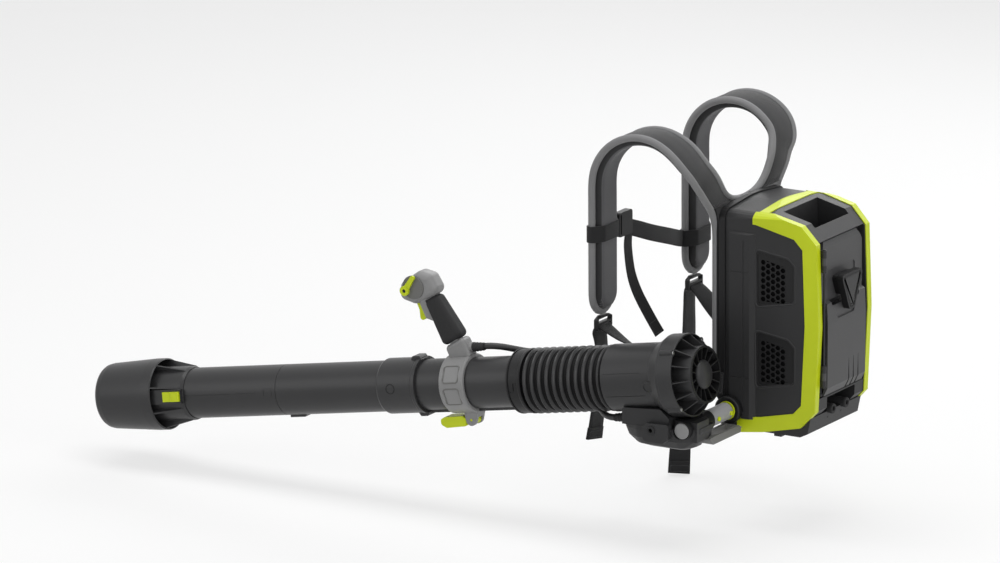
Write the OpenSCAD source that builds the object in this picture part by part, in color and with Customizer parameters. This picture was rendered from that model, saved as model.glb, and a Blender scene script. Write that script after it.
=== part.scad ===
// Backpack leaf blower: a battery pack carried on moulded shoulder straps, with an axial fan unit on a
// side arm, a ribbed hose, a three-piece blow tube, a sliding control handle and a flared nozzle.
// The origin is the middle of the back pad's face, where it lies against the wearer's back.
// +X points away from the wearer, -X is where the tube blows, +Y is the wearer's right, +Z is up.

/* [Pack housing] */
// Half width of the pack at its front face
pack_half = 100; // [97:1:103]
// Angle by which each side wall leans in towards the rear
side_taper = 3; // [2.5:0.5:3.5]
// Depth from the front face to the rearmost edge
pack_depth = 178; // [176:1:184]
// Height of the top crown above the feet
pack_height = 390; // [386:1:396]
// Wall of the housing mouldings
wall = 3; // [2.5:0.5:3.5]
// Radius of the two top corners
corner_r = 18; // [14:1:22]
// Width of the trim band as seen from the side
band_w = 24.5; // [23:0.5:26]
// How far the trim band returns into the rear face
band_return = 12; // [11:0.5:12.5]
// How far the trim band stands proud of the side wall
band_proud = 1.5; // [1:0.5:2]
// How far the corner posts stand proud of the side wall
post_proud = 4; // [3:0.5:5]
// Distance across the flats of a vent hole
vent_hole = 8.3; // [7.5:0.1:8.6]
// Distance between the centres of two vent holes
vent_pitch = 10.6; // [10.4:0.1:11.4]
// Radius of the two blind sockets below the door
socket_r = 4; // [3:0.5:5]

/* [Door and battery] */
// Width of the battery bay
bay_w = 128; // [122:1:130]
// Depth of the battery bay
bay_depth = 72; // [66:1:74]
// Height of the battery bay
bay_height = 222; // [216:1:226]
// Height of the door
door_height = 264; // [258:1:268]
// Width of the door
door_w = 141; // [138:1:143]
// Radius of the door's hinge pin
pin_r = 2; // [1.6:0.1:2.2]
// How far the door latch moves when it is pressed
latch_travel = 3; // [2:0.5:4]

/* [Harness] */
// Thickness of the back pad at its rim
pad_rim = 18.5; // [16:0.5:20]
// How far the back pad's cushions rise beyond the rim
pad_crown = 7; // [5:0.5:9]
// Half distance between the two shoulder straps
strap_y = 157; // [154:1:160]
// Width of a shoulder strap
strap_w = 80; // [76:1:84]
// Thickness of the bead along a strap's edges
strap_t = 11; // [10:0.5:13]
// How far a strap's cushion stands out from the strap's middle towards the wearer
strap_pad = 13; // [11:0.5:15]
// Radius of the strap's arch over the shoulder
strap_r = 93; // [90:1:95]
// Length of the straight front leg of a strap
leg_len = 231; // [226:1:234]
// Width of the lower webbing
web_w = 38; // [34:1:40]
// Width of the chest strap's webbing
chest_w = 28; // [25:1:32]
// Thickness of the webbing
web_t = 2; // [1.6:0.1:2.4]

/* [Arm and fan unit] */
// Radius of the arm's inner shaft
shaft_r = 10; // [8:0.5:10.5]
// Radius of the arm's outer sleeve
sleeve_r = 15; // [14:0.5:16]
// Radius of the round boss that carries the arm
boss_r = 24; // [22:0.5:25]
// Downward pitch of the blow tube
pitch = 9.5; // [8:0.5:11]
// Radius of the intake ring
ring_r = 70.3; // [69:0.1:72]
// Radius of the fan barrel
barrel_r = 57; // [56:0.5:58.5]
// Number of gussets around the intake ring
gusset_n = 14; // [12:1:16]
// Number of ribs in the inner grille
grille_n = 15; // [13:1:17]
// Number of fan blades
blade_n = 9; // [7:1:11]
// Number of guide vanes behind the fan
vane_n = 7; // [5:1:9]
// Radius of the motor can
motor_r = 26; // [24:0.5:27]

/* [Hose and tubes] */
// Outer radius of the ribbed hose
hose_r = 56; // [55:0.5:57]
// Depth of the hose's folds
fold_depth = 7; // [5:0.5:8]
// Number of ribs on the hose
fold_n = 11; // [10:1:12]
// Outer radius of the blow tubes
tube_r = 43.7; // [43:0.1:44.5]
// Wall of the blow tubes
tube_wall = 2.5; // [2:0.1:3]
// Largest radius of the nozzle's bell
bell_r = 62; // [60:0.5:64]
// Radius at the front of the nozzle's bell
mouth_r = 54; // [52:0.5:56]
// Number of fins between the nozzle's neck and bell
fin_n = 8; // [6:1:10]
// Diameter of the control cable
cable_d = 11.5; // [10:0.5:12]

/* [Handle] */
// Radius of the handle's clamp ring
clamp_r = 50.5; // [50:0.5:52]
// Width of the handle's clamp ring
clamp_w = 48; // [44:1:52]
// Length of the rubber grip
grip_len = 84; // [80:1:88]
// Thickness of the handle across the hand
grip_w = 31; // [28:1:33]
// Radius of the round cover on the handle's head
dial_r = 20.5; // [19:0.5:21]

/* [Hidden] */

charcoal = "#3a3a3c";
black = "#232325";
lime = "#c3d62f";
light_grey = "#8f9092";
silver = "#a9abad";
web_black = "#2c2c2e";
alloy = "#b5b7ba";
copper = "#b06a3c";

fit = 0.05;    // running clearance of a shaft in its bore
seat = 0.2;    // clearance between two fixed pieces
gap = 0.6;     // clearance between pieces that move past each other
$fn = 72;      // facets of a full circle

// ---------- outlines ----------
function arc_sweep(d) = d > 180 ? d - 360 : d < -180 ? d + 360 : d;

function corner_arc(a, p, b, r, n) = r <= 0 ? [p] :
    let (u = (a - p) / norm(a - p), v = (b - p) / norm(b - p),
         h = acos(u * v) / 2,
         c = p + (u + v) / norm(u + v) * r / sin(h),
         s0 = p + u * r / tan(h) - c, s1 = p + v * r / tan(h) - c,
         a0 = atan2(s0[1], s0[0]), sw = arc_sweep(atan2(s1[1], s1[0]) - a0))
    [for (i = [0 : n]) c + r * [cos(a0 + sw * i / n), sin(a0 + sw * i / n)]];

// A closed outline with each corner rounded; r is one radius, or a list with one for each corner
function rounded(pts, r, n = 5) = let (k = len(pts))
    [for (i = [0 : k - 1])
        each corner_arc(pts[(i + k - 1) % k], pts[i], pts[(i + 1) % k], is_list(r) ? r[i] : r, n)];

function left_normal(a, b) = let (d = (b - a) / norm(b - a)) [-d[1], d[0]];

// A counter-clockwise outline moved inwards by d, or outwards where d is negative
function inset(pts, d) = let (k = len(pts))
    [for (i = [0 : k - 1])
        let (m = left_normal(pts[(i + k - 1) % k], pts[i]), n = left_normal(pts[i], pts[(i + 1) % k]))
        pts[i] + (m + n) * d / (1 + m * n)];

function box_outline(x0, x1, z0, z1) = [[x0, z0], [x1, z0], [x1, z1], [x0, z1]];

// ---------- solids from outlines and rings ----------
// An outline drawn as [x, z], extruded both ways along Y
module slab_y(w) {
    rotate([90, 0, 0]) linear_extrude(height = w, center = true) children();
}

// An outline drawn as [y, z], extruded along X from x0 to x1
module slab_x(x0, x1) {
    translate([x0, 0, 0]) rotate([90, 0, 90]) linear_extrude(height = x1 - x0) children();
}

// A closed skin over rings of points, which run counter-clockwise seen from the last ring; its two halves
// are split along facing diagonals, so that a thin twisted ribbon keeps its thickness
module skin(rings) {
    n = len(rings[0]);
    m = len(rings);
    sides = [for (i = [0 : m - 2], j = [0 : n - 1])
        let (a = i * n + j, b = i * n + (j + 1) % n)
        each j < n / 2 ? [[a, a + n, b + n], [a, b + n, b]] : [[a, a + n, b], [a + n, b + n, b]]];
    first = [for (j = [1 : n - 2]) [0, j, j + 1]];
    last = [for (j = [1 : n - 2]) [(m - 1) * n, (m - 1) * n + j + 1, (m - 1) * n + j]];
    polyhedron(points = [for (r = rings) each r], faces = concat(sides, first, last), convexity = 6);
}

function unit(v) = v / norm(v);
function tangent(path, i) = unit(path[min(i + 1, len(path) - 1)] - path[max(i - 1, 0)]);

// A point on a smooth curve through a list of points; t counts the points
function spline(pts, t) = let (k = len(pts) - 1, i = min(floor(t), k - 1), f = t - i,
    p0 = pts[max(i - 1, 0)], p1 = pts[i], p2 = pts[i + 1], p3 = pts[min(i + 2, k)])
    0.5 * (2 * p1 + (p2 - p0) * f + (2 * p0 - 5 * p1 + 4 * p2 - p3) * f * f
           + (3 * p1 - p0 - 3 * p2 + p3) * f * f * f);
function smooth_path(pts, per) = let (k = (len(pts) - 1) * per) [for (i = [0 : k]) spline(pts, i / per)];

// A flat ribbon along a path; across gives the direction of its width at each point
module ribbon(path, across, w, t) {
    skin([for (i = [0 : len(path) - 1])
        let (d = tangent(path, i), q = across[i],
             a = unit(q - (q * d) * d) * w / 2, n = unit(cross(d, a)) * t / 2)
        [path[i] + a + n, path[i] - a + n, path[i] - a - n, path[i] + a - n]]);
}

// ---------- pack form ----------
crown_drop = 8;      // fall of the top arch from its crown to its corners
crown_round = 300;   // radius at the crown
band_front = 26;     // where the lower leg of the band starts
band_top_front = 56; // where the upper leg of the band starts
base_z = 3;          // height of the band's lowest point
rear_mid_z = 200;    // height at which the rear edge stands furthest out
low_cut = [33, 26];  // lower rear corner, cut back along X and up along Z
top_cut = [32, 29];  // upper rear corner
span = 2 * pack_half + 60;

// Side view of the pack, from the lower front corner; front is the X of its front edge
function side_outline(front) = [
    [front, base_z + 5], [band_front, base_z], [75, base_z + 6],
    [pack_depth - low_cut[0], base_z + 21], [pack_depth - 7, base_z + 23 + low_cut[1]],
    [pack_depth, rear_mid_z], [pack_depth - 5, pack_height - 20 - top_cut[1]],
    [pack_depth - top_cut[0], pack_height - 20], [64, pack_height], [front, pack_height]];

function front_outline(o) = let (h = pack_half + o, z = pack_height - crown_drop + o)
    rounded([[h, -20], [h, z], [0, pack_height + 1 + o], [-h, z], [-h, -20]],
            [0, corner_r + o, crown_round, corner_r + o, 0]);

function half_at(x) = pack_half - x * tan(side_taper);

module plan_prism(o) {
    x0 = -60;
    x1 = pack_depth + 40;
    translate([0, 0, -30]) linear_extrude(height = pack_height + 60)
        polygon([[x0, -half_at(x0) - o], [x1, -half_at(x1) - o], [x1, half_at(x1) + o], [x0, half_at(x0) + o]]);
}

module side_prism(pts) slab_y(span) polygon(pts);
module front_prism(o) slab_x(-60, pack_depth + 60) polygon(front_outline(o));

module pack_form(o) {
    intersection() {
        side_prism(inset(side_outline(0), -o));
        plan_prism(o);
        front_prism(o);
    }
}

// The right side wall's own frame: x runs back along the wall, y points out of it, z is up
module on_side(side) {
    mirror([0, side < 0 ? 1 : 0, 0]) translate([0, pack_half, 0]) rotate([0, 0, -side_taper]) children();
}

// An outline drawn as [x, z] on a side wall, from depth y0 to y1 outside it
module on_wall(side, y0, y1) {
    on_side(side) translate([0, y1, 0]) rotate([90, 0, 0]) linear_extrude(height = y1 - y0) children();
}

module placed() {
    translate([pad_rim + pad_crown + plate_t, 0, -wear_z]) children();
}
wear_z = 200;    // height of the middle of the back pad above the feet
plate_t = 6.5;   // thickness of the plate between the pad and the pack

// ---------- trim band ----------
module band_mask() {
    slab_y(span) polygon([[band_front, -20], [pack_depth + 30, -20], [pack_depth + 30, pack_height + 30],
        [band_top_front, pack_height + 30], [band_top_front, rear_mid_z], [band_front + 8, rear_mid_z]]);
}

cross_x = 62;       // front edge of the strip that crosses the top
cross_w = 18;       // its width
cross_t = 4;        // its thickness

// Everything the trim band fills, down to the housing it is seated in
module band_space() {
    difference() {
        intersection() {
            pack_form(band_proud);
            band_mask();
        }
        side_prism(inset(side_outline(-2 * band_w), band_w));
        plan_prism(-band_return);
    }
    intersection() {
        pack_form(band_proud);
        translate([cross_x, -span / 2, pack_height - 60]) cube([cross_w, span, 100]);
        difference() {
            pack_form(band_proud);
            pack_form(-cross_t);
        }
        front_prism(band_proud);
        translate([0, -pack_half + 8, pack_height - 30]) cube([pack_depth, 2 * pack_half - 16, 60]);
    }
}

latch_box = [11, 18, 38];   // door latch: along X, Y and Z
latch_x = pack_depth - 13;
latch_z = 175;
function latch_y() = half_at(latch_x) + 4;

module latch_window(c) {
    translate([latch_x - c, latch_y() - latch_box[1] - latch_travel - 6, latch_z - c])
        cube([latch_box[0] + 2 * c, latch_box[1] + 30, latch_box[2] + 2 * c]);
}

module trim_band() placed() color(lime) {
    difference() {
        band_space();
        latch_window(seat);
    }
}

// ---------- housing ----------
bay_x = pack_depth - 18 - bay_depth;   // front wall of the battery bay
bay_z = 84;
door_seat = pack_depth - 18;           // floor of the door's recess
door_z = 76;
door_gap = 3;                          // gap around the door in its recess
door_y0 = -71;                         // the door's hinged edge
pocket_x0 = 94;
pocket_x1 = pack_depth - 25;
pocket_half = 58;
pocket_floor = 318;
hinge_x = pack_depth + 3;
hinge_y = door_y0 - 5;
knuckle_r = pin_r + 2.2;
knuckle_len = 38;
knuckle_z = [door_z + 18, door_z + door_height - 47];   // lower end of each hinge
socket_y = 23;
socket_z = 44;

module bay(c) {
    translate([bay_x - c, -bay_w / 2 - c, bay_z - c]) cube([pack_depth, bay_w + 2 * c, bay_height + 2 * c]);
}

pocket_corners = [[pocket_x0, pocket_floor], [pocket_x1, pocket_floor], [pocket_x1, 500], [pocket_x0 - 4, 500]];

module pocket(c) {
    slab_y(2 * pocket_half + 2 * c) polygon(rounded(inset(pocket_corners, -c), [14, 14, 0, 0]));
}

vent_drop = 140;   // from the upper vent down to the lower one
vent_outline = [[62, 224], [133, 237], [133, 300], [121, 312], [61, 322]];
vent_field = [[69, 234], [116.5, 234], [116.5, 297], [69, 308]];
vent_round = [7, 10, 6, 5, 5];

module vent_opening(side, drop) {
    on_wall(side, -wall - 2, 2) translate([0, -drop]) polygon(rounded(vent_outline, vent_round));
}

module vent_panel(side, drop) {
    rim = 3;
    cols = ceil((vent_field[1][0] - vent_field[0][0]) / (vent_pitch * cos(30)));
    rows = ceil((vent_field[3][1] - vent_field[0][1]) / vent_pitch);
    difference() {
        on_wall(side, -wall, -0.3) translate([0, -drop])
            polygon(rounded(inset(vent_outline, seat), vent_round));
        on_wall(side, -wall + 1.4, 1) translate([0, -drop])
            polygon(rounded(inset(vent_outline, rim), vent_round));
        on_wall(side, -wall - 1, 1) translate([0, -drop]) intersection() {
            polygon(rounded(vent_field, 3));
            for (i = [0 : cols], j = [-1 : rows])
                translate([vent_field[0][0] + 5.5 + i * vent_pitch * cos(30),
                           vent_field[0][1] + 4 + (j + (i % 2) / 2) * vent_pitch])
                    circle(r = vent_hole / 2 / cos(30), $fn = 6);
        }
    }
}

module vent_left_upper() placed() color(black) vent_panel(-1, 0);
module vent_left_lower() placed() color(black) vent_panel(-1, vent_drop);
module vent_right_upper() placed() color(black) vent_panel(1, 0);
module vent_right_lower() placed() color(black) vent_panel(1, vent_drop);

module hinge_axis() translate([hinge_x, hinge_y, 0]) children();

// The outer two thirds of each hinge, which stand on the housing
module housing_knuckles() {
    third = knuckle_len / 3;
    for (z = knuckle_z, k = [0, 2]) {
        hinge_axis() translate([0, 0, z + k * third]) cylinder(r = knuckle_r, h = third - fit);
        translate([door_seat - 4, hinge_y - 2, z + k * third])
            cube([hinge_x - door_seat + 4, 4, third - fit]);
    }
}

module lower_sockets() {
    for (s = [-1, 1]) {
        translate([door_seat - 26, s * socket_y, socket_z]) rotate([0, 90, 0])
            cylinder(r = socket_r + 4.5, h = 36);
        translate([door_seat - 26, s * socket_y - 1.5, socket_z - 17]) cube([26, 3, 14]);
    }
}

module feet() {
    for (s = [-1, 1]) {
        translate([90, s * 78 - 6, 0]) cube([14, 12, base_z + 9]);
        translate([24, s * 60 - 6, 0]) cube([14, 12, base_z + 3]);
    }
    slab_y(2 * half_at(150) - 10)
        polygon([[58, 8], [68, 5], [142, 5], [pack_depth - 22, 12], [pack_depth - 16, 40], [130, 40], [58, 20]]);
}

module housing() placed() color(charcoal) {
    difference() {
        union() {
            difference() {
                pack_form(0);
                difference() {
                    intersection() {
                        side_prism(inset(side_outline(-band_w), band_w + wall));
                        plan_prism(-wall);
                    }
                    bay(wall);
                    pocket(wall);
                }
                translate([door_seat, door_y0 - 6 - door_gap, door_z - door_gap])
                    cube([60, door_w + 2 * door_gap + 9, door_height + 2 * door_gap]);
                translate([pack_depth - 44, -48, 36]) cube([60, 96, door_z - 42]);
            }
            housing_knuckles();
            lower_sockets();
            feet();
        }
        band_space();
        bay(0);
        pocket(0);
        for (side = [-1, 1], drop = [0, vent_drop]) vent_opening(side, drop);
        hinge_axis() translate([0, 0, knuckle_z[0] - 5])
            cylinder(r = pin_r + fit, h = pack_height);
        for (s = [-1, 1])
            translate([door_seat - 10, s * socket_y, socket_z]) rotate([0, 90, 0])
                cylinder(r = socket_r, h = 40);
        latch_window(seat);
        on_arm() translate([0, 0, -boss_in - 2]) cylinder(r = stub_r + seat, h = 40);
    }
}

module hinge_pin() placed() color(alloy) hinge_axis() {
    z0 = knuckle_z[0] - 2;
    translate([0, 0, z0])
        cylinder(r = pin_r, h = knuckle_z[1] + knuckle_len + 2 - z0);
    translate([0, 0, knuckle_z[1] + knuckle_len + 0.2]) cylinder(r = pin_r + 1, h = 1.8);
}

module back_plate() placed() color(black) {
    difference() {
        intersection() {
            translate([-plate_t, -span / 2, 0]) cube([plate_t + 5, span, pack_height + 30]);
            plan_prism(3);
            front_prism(3);
            slab_y(span) polygon([[-plate_t, 14], [20, 10], [20, pack_height + 10], [-plate_t, pack_height + 1]]);
        }
        pack_form(0);
        on_arm() translate([0, 0, -boss_in - 2]) cylinder(r = stub_r + seat, h = 40);
    }
}

post_x0 = 13.5;
post_x1 = 51;

module post(side) {
    difference() {
        on_side(side) linear_extrude(height = 353)
            polygon([[post_x0, 0], [post_x1 + 10, 0], [post_x1, post_proud], [post_x0, post_proud]]);
        translate([0, -span / 2, -1]) cube([100, span, 28]);
        on_side(side) translate([30, 0, 353]) rotate([-35, 0, 0])
            translate([-50, -20, -3]) cube([100, 60, 20]);
        for (z = [98, 281])
            on_side(side) translate([post_x0 - 1, post_proud - 0.8, z]) cube([post_x1 - post_x0, 3, 1.2]);
        on_side(side) translate([post_x1 - 12, post_proud - 1, 36]) cube([1.2, 3, 300]);
        on_arm() cylinder(r = boss_r + seat, h = 200, center = true);
        band_space();
    }
}

module post_left() placed() color(charcoal) post(-1);
module post_right() placed() color(charcoal) post(1);

terminal_x = bay_x + 18;   // terminal block in the bay: front, depth, width and height
terminal_d = 24;
terminal_w = 44;
terminal_h = 16;
blade_h = 6;

module battery_pack() placed() color(charcoal) {
    c = 4;
    x0 = bay_x + c;
    z0 = bay_z + terminal_h;
    difference() {
        slab_y(bay_w - 2 * c)
            polygon(rounded(box_outline(x0, door_seat - c, z0, bay_z + bay_height - c), 6));
        for (s = [-1, 1])
            translate([x0 + 8, s * (bay_w / 2 - c) - 2, z0 + 20]) cube([bay_depth - 24, 4, 150]);
        translate([door_seat - 22, -40, bay_z + bay_height - 40]) cube([12, 80, 60]);
        translate([terminal_x + 3, 3 - terminal_w / 2, z0 - 1])
            cube([terminal_d - 6, terminal_w - 6, blade_h + 3]);
    }
}

module terminal_block() placed() color(black) {
    translate([terminal_x, -terminal_w / 2, bay_z]) cube([terminal_d, terminal_w, terminal_h]);
    for (i = [-2 : 2])
        translate([terminal_x + 6, i * 8 - 1, bay_z + terminal_h - 1]) cube([terminal_d - 12, 2, blade_h + 1]);
}

module controller() placed() color(alloy) {
    for (y = [-40, 40], z = [130, 240])
        translate([wall, y, z]) rotate([0, 90, 0]) cylinder(r = 4, h = 14);
    translate([wall + 12, -52, 118]) cube([20, 104, 134]);
    for (i = [0 : 12])
        translate([wall + 30, -50 + i * 8, 122]) cube([16, 2.4, 126]);
}

// ---------- door ----------
function door_profile() = let (x = door_seat + 0.5, z1 = door_z + door_height) [
    [x, door_z], [door_seat + 15, door_z], [pack_depth + 4, door_z + 14], [pack_depth + 5, shelf_z - 36],
    [pack_depth + 3, shelf_z], [door_seat + 12.5, shelf_z + 5], [door_seat + 12, z1 - 10], [door_seat + 8, z1],
    [x, z1]];

door_y1 = door_y0 + door_w;
shelf_z = door_z + 160;    // top of the door's thicker lower part
block_y = [-40, 35];
block_z = [shelf_z - 19, shelf_z + 45];
slit_y = [8, 24, 40];

module door_face() {
    z1 = door_z + door_height;
    slab_x(door_seat - 5, pack_depth + 30)
        polygon([[door_y0, door_z], [door_y1, door_z], [door_y1, z1 - 20], [door_y1 - 14, z1],
                 [door_y0 + 14, z1], [door_y0, z1 - 20]]);
}

module door_panel() placed() color(charcoal) {
    third = knuckle_len / 3;
    difference() {
        union() {
            difference() {
                intersection() {
                    slab_y(span) polygon(door_profile());
                    door_face();
                }
                translate([0, (door_y0 + door_y1) / 2, 0]) slab_y(door_w - 2 * wall) polygon(
                    [[door_seat - 5, door_z + wall], [door_seat + 12, door_z + wall],
                     [pack_depth + 4 - wall, door_z + 18], [pack_depth + 5 - wall, shelf_z - 36],
                     [pack_depth + 3 - wall, shelf_z - 4], [door_seat + 12 - wall, shelf_z + 2],
                     [door_seat + 12 - wall, door_z + door_height - 14], [door_seat - 5, door_z + door_height - 8]]);
                // the lower panel is narrower than the door
                for (y = [door_y0 - 1, door_y1 - 5])
                    translate([door_seat + 12, y, door_z - 1]) cube([30, 6, shelf_z - door_z + 10]);
            }
            for (z = knuckle_z) {
                hinge_axis() translate([0, 0, z + third + fit])
                    cylinder(r = knuckle_r, h = third - 3 * fit);
                translate([door_seat + 9, hinge_y, z + third + fit])
                    cube([hinge_x - door_seat - 9, door_y0 - hinge_y + 2, third - 3 * fit]);
            }
        }
        hinge_axis() cylinder(r = pin_r + fit, h = pack_height);
        // three tapered slits rise from the bottom edge
        for (y = slit_y)
            slab_x(door_seat + 10, pack_depth + 20)
                polygon([[y - 2.6, door_z - 1], [y + 2.6, door_z - 1], [y + 0.4, door_z + 52], [y - 0.4, door_z + 52]]);
        // the sunken field round the raised block
        slab_x(door_seat + 10.6, pack_depth + 20)
            polygon(rounded(box_outline(block_y[0] - 10, block_y[1] + 10, block_z[0] + 12, block_z[1] + 8), 6));
        slab_x(pack_depth + 2, pack_depth + 20)
            polygon(rounded([[-30, block_z[0] - 12], [24, block_z[0] - 12], [block_y[1] + 10, shelf_z + 4],
                             [block_y[0] - 10, shelf_z + 4]], 5));
    }
}

// Corners of the triangular block, seen from behind
block_corners = [[block_y[0], block_z[1]], [-12, block_z[0]], [6, block_z[0]], [block_y[1], block_z[1]]];

module door_block() placed() color(black) {
    difference() {
        union() {
            slab_x(pack_depth + 5, pack_depth + 16.5) polygon(rounded(block_corners, [7, 6, 6, 7]));
            slab_x(door_seat + 10.6, pack_depth + 5) intersection() {
                polygon(rounded(inset(block_corners, 5), [4, 2, 2, 4]));
                translate([-span / 2, shelf_z + 7]) square(span);
            }
        }
        slab_x(pack_depth + 15.5, pack_depth + 20) polygon(rounded(inset(block_corners, 4), [5, 3, 3, 5]));
    }
}

module door_latch() placed() color(lime) {
    y1 = latch_y();
    translate([latch_x, y1 - latch_box[1], latch_z]) {
        cube([latch_box[0], latch_box[1] - 3, latch_box[2]]);
        translate([0, latch_box[1] - 3, 0]) slab_x(0, latch_box[0])
            polygon(rounded([[0, 0], [3, 4], [3, latch_box[2] - 4], [0, latch_box[2]]], [0, 2, 2, 0]));
    }
}

// ---------- side arm ----------
arm_x = 15;          // the arm's axis, along Y
arm_z = 41;
boss_in = 12;        // how far the boss reaches into the housing
boss_len = 11;
stub_r = shaft_r + 4.5;
boss_y = pack_half + 3;              // where the boss stands on the corner
sleeve_len = 64;
socket_len = 82;
button_r = 4;
button_travel = 3;
button_off = [6, 48];                // places of the two snap buttons along the sleeve

// The arm's frame: z runs out to the wearer's left, from the pack's middle plane
module on_arm() translate([arm_x, 0, arm_z]) rotate([90, 0, 0]) translate([0, 0, pack_half]) children();

module arm_boss() placed() color(black) on_arm() {
    difference() {
        union() {
            translate([0, 0, 3]) cylinder(r = boss_r, h = boss_len - 2);
            translate([0, 0, boss_len + 1]) cylinder(r1 = boss_r, r2 = boss_r - 2, h = 2);
            translate([0, 0, -boss_in]) cylinder(r = stub_r, h = boss_in + 4);
        }
        translate([0, 0, -boss_in - 1]) cylinder(r = shaft_r + fit, h = 60);
        translate([0, 0, boss_len + 1.5]) cylinder(r = sleeve_r + 2.6, h = 4);
    }
}

module arm_ring() placed() color(lime) on_arm() {
    difference() {
        translate([0, 0, boss_len + 1.5]) cylinder(r = sleeve_r + 2.4, h = 3);
        translate([0, 0, boss_len]) cylinder(r = shaft_r + gap, h = 6);
    }
}

sleeve_z = boss_y + boss_len + 4.8 - pack_half;   // start of the sleeve, past the lime ring

module arm_shaft() placed() color(alloy) on_arm() {
    difference() {
        translate([0, 0, -boss_in + 1]) cylinder(r = shaft_r, h = boss_in + sleeve_z + sleeve_len + 20);
        for (z = button_off) button_hole(z);
    }
}

module button_hole(z) {
    translate([shaft_r - 5, 0, sleeve_z + z]) rotate([0, 90, 0]) cylinder(r = button_r + fit, h = 30);
}

module arm_sleeve() placed() color(silver) on_arm() {
    difference() {
        translate([0, 0, sleeve_z]) cylinder(r = sleeve_r, h = sleeve_len);
        translate([0, 0, sleeve_z - 1]) cylinder(r = shaft_r + seat, h = sleeve_len + 2);
        for (z = button_off) button_hole(z);
    }
}

module snap_button(z) placed() color(lime) on_arm() {
    translate([shaft_r - 5 + button_travel + 0.3, 0, sleeve_z + z]) rotate([0, 90, 0]) {
        cylinder(r = button_r, h = sleeve_r - shaft_r + 3.5);
        translate([0, 0, sleeve_r - shaft_r + 3.5])
            cylinder(r1 = button_r, r2 = button_r - 1.2, h = 1.2);
    }
}

module snap_button_inner() snap_button(button_off[0]);
module snap_button_outer() snap_button(button_off[1]);

socket_start = sleeve_z + sleeve_len;

module arm_socket() placed() color(black) on_arm() {
    difference() {
        translate([0, 0, socket_start]) {
            cylinder(r = sleeve_r + 2.5, h = 22);
            translate([0, 0, 22]) cylinder(r1 = sleeve_r + 2.5, r2 = sleeve_r + 0.5, h = 5);
            cylinder(r = sleeve_r + 0.5, h = socket_len);
        }
        translate([0, 0, socket_start - 1]) cylinder(r = shaft_r + seat, h = 22);
        translate([0, 0, socket_start + socket_len - 4]) cylinder(r = sleeve_r - 1.4, h = 10);
    }
}

module arm_cap() placed() color(light_grey) on_arm() {
    translate([0, 0, socket_start + socket_len - 4]) cylinder(r = sleeve_r - 1.6, h = 5);
    translate([0, 0, socket_start + socket_len + 1])
        cylinder(r1 = sleeve_r - 1.6, r2 = sleeve_r - 2.6, h = 1.2);
}

rail_z = -sleeve_r - 12;

module arm_rail() placed() color(light_grey) on_arm() {
    z0 = 6;
    z1 = socket_start + 36;
    difference() {
        translate([12 - 15, rail_z, 0]) rotate([90, 0, 90]) linear_extrude(height = 30)
            polygon(rounded([[-7, z0], [-1, z0], [6, z0 + 12], [6, z1], [-7, z1 - 12]], [2, 2, 4, 2, 6]));
        translate([12 - 9, rail_z - 20, z0 + 14]) cube([18, 40, z1 - z0 - 44]);
        translate([12 - 15 - 1, rail_z - 8, z0 - 1]) cube([32, 8.2, 7]);
        cylinder(r = sleeve_r + 3, h = 400);
        translate([0, 0, -1]) cylinder(r = boss_r + gap, h = boss_len + 5);
    }
}

// ---------- fan unit ----------
unit_x = 12.5;       // middle of the intake ring's rear edge
unit_y = 226;
unit_z = 129;

// The tube's frame: z runs forward along the blow axis, x is up, y is towards the pack
module on_tube() translate([unit_x, -unit_y, unit_z]) rotate([0, -90 - pitch, 0]) children();

// A profile drawn as [radius, distance forward], turned about the blow axis
module turned(pts) rotate_extrude() polygon(pts);

// An outline drawn as [distance forward, height], w wide across the tube
module in_plane(w) rotate(240, [1, 1, 1]) linear_extrude(height = w, center = true) children();

ring_len = 26;
cone_len = 24;
barrel_end = 146;
barrel_wall = 3;
cage_back = 27.6;               // how far the inner ring stands behind the outer one
duct_r = 48.5;                  // outer radius of the inlet duct
duct_wall = 2.5;
hub_r = 24.5;
lug_angle = [45, 135, 225, 315];

module intake_ring() placed() color(charcoal) on_tube() {
    inner = duct_r - duct_wall;
    difference() {
        union() {
            turned([[ring_r - 2.8, 0], [ring_r - 0.8, 0], [ring_r, 1], [ring_r, ring_len], [inner, ring_len],
                    [inner, 2 - cage_back], [duct_r, 2 - cage_back], [duct_r, ring_len - 3],
                    [ring_r - 2.8, ring_len - 3]]);
            for (i = [0 : gusset_n - 1])
                rotate([0, 0, 360 * (i + 0.5) / gusset_n]) rotate([90, 0, 0])
                    linear_extrude(height = 1.6, center = true)
                        polygon([[duct_r - 0.5, ring_len - 1], [duct_r - 0.5, 3.5 - cage_back],
                                 [ring_r - 2, 1.6], [ring_r - 2, ring_len - 1]]);
            for (a = lug_angle)
                rotate([0, 0, a]) translate([ring_r - 2, 0, 1]) cylinder(r = 5.5, h = ring_len - 2);
        }
        for (a = lug_angle)
            rotate([0, 0, a]) translate([ring_r - 2, 0, -1]) cylinder(r = 1.8, h = 16);
    }
}

module intake_grille() placed() color(black) on_tube() {
    back = -cage_back;
    turned([[duct_r - 3.5, back], [duct_r, back], [duct_r, back + 2], [duct_r - 3.5, back + 2]]);
    for (i = [0 : grille_n - 1])
        rotate([0, 0, 360 * i / grille_n]) rotate([90, 0, 0]) linear_extrude(height = 1.6, center = true)
            polygon([[hub_r - 2, back + 5], [duct_r - 3, back + 0.2], [duct_r - 3, back + 11], [hub_r - 2, back + 12]]);
    translate([0, 0, back + 3]) rotate_extrude() polygon(concat(
        [[0, 11], [0, -3]], [for (a = [75 : -15 : 0]) [hub_r * cos(a), 3 - 6 * sin(a)]], [[hub_r, 11]]));
}

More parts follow.
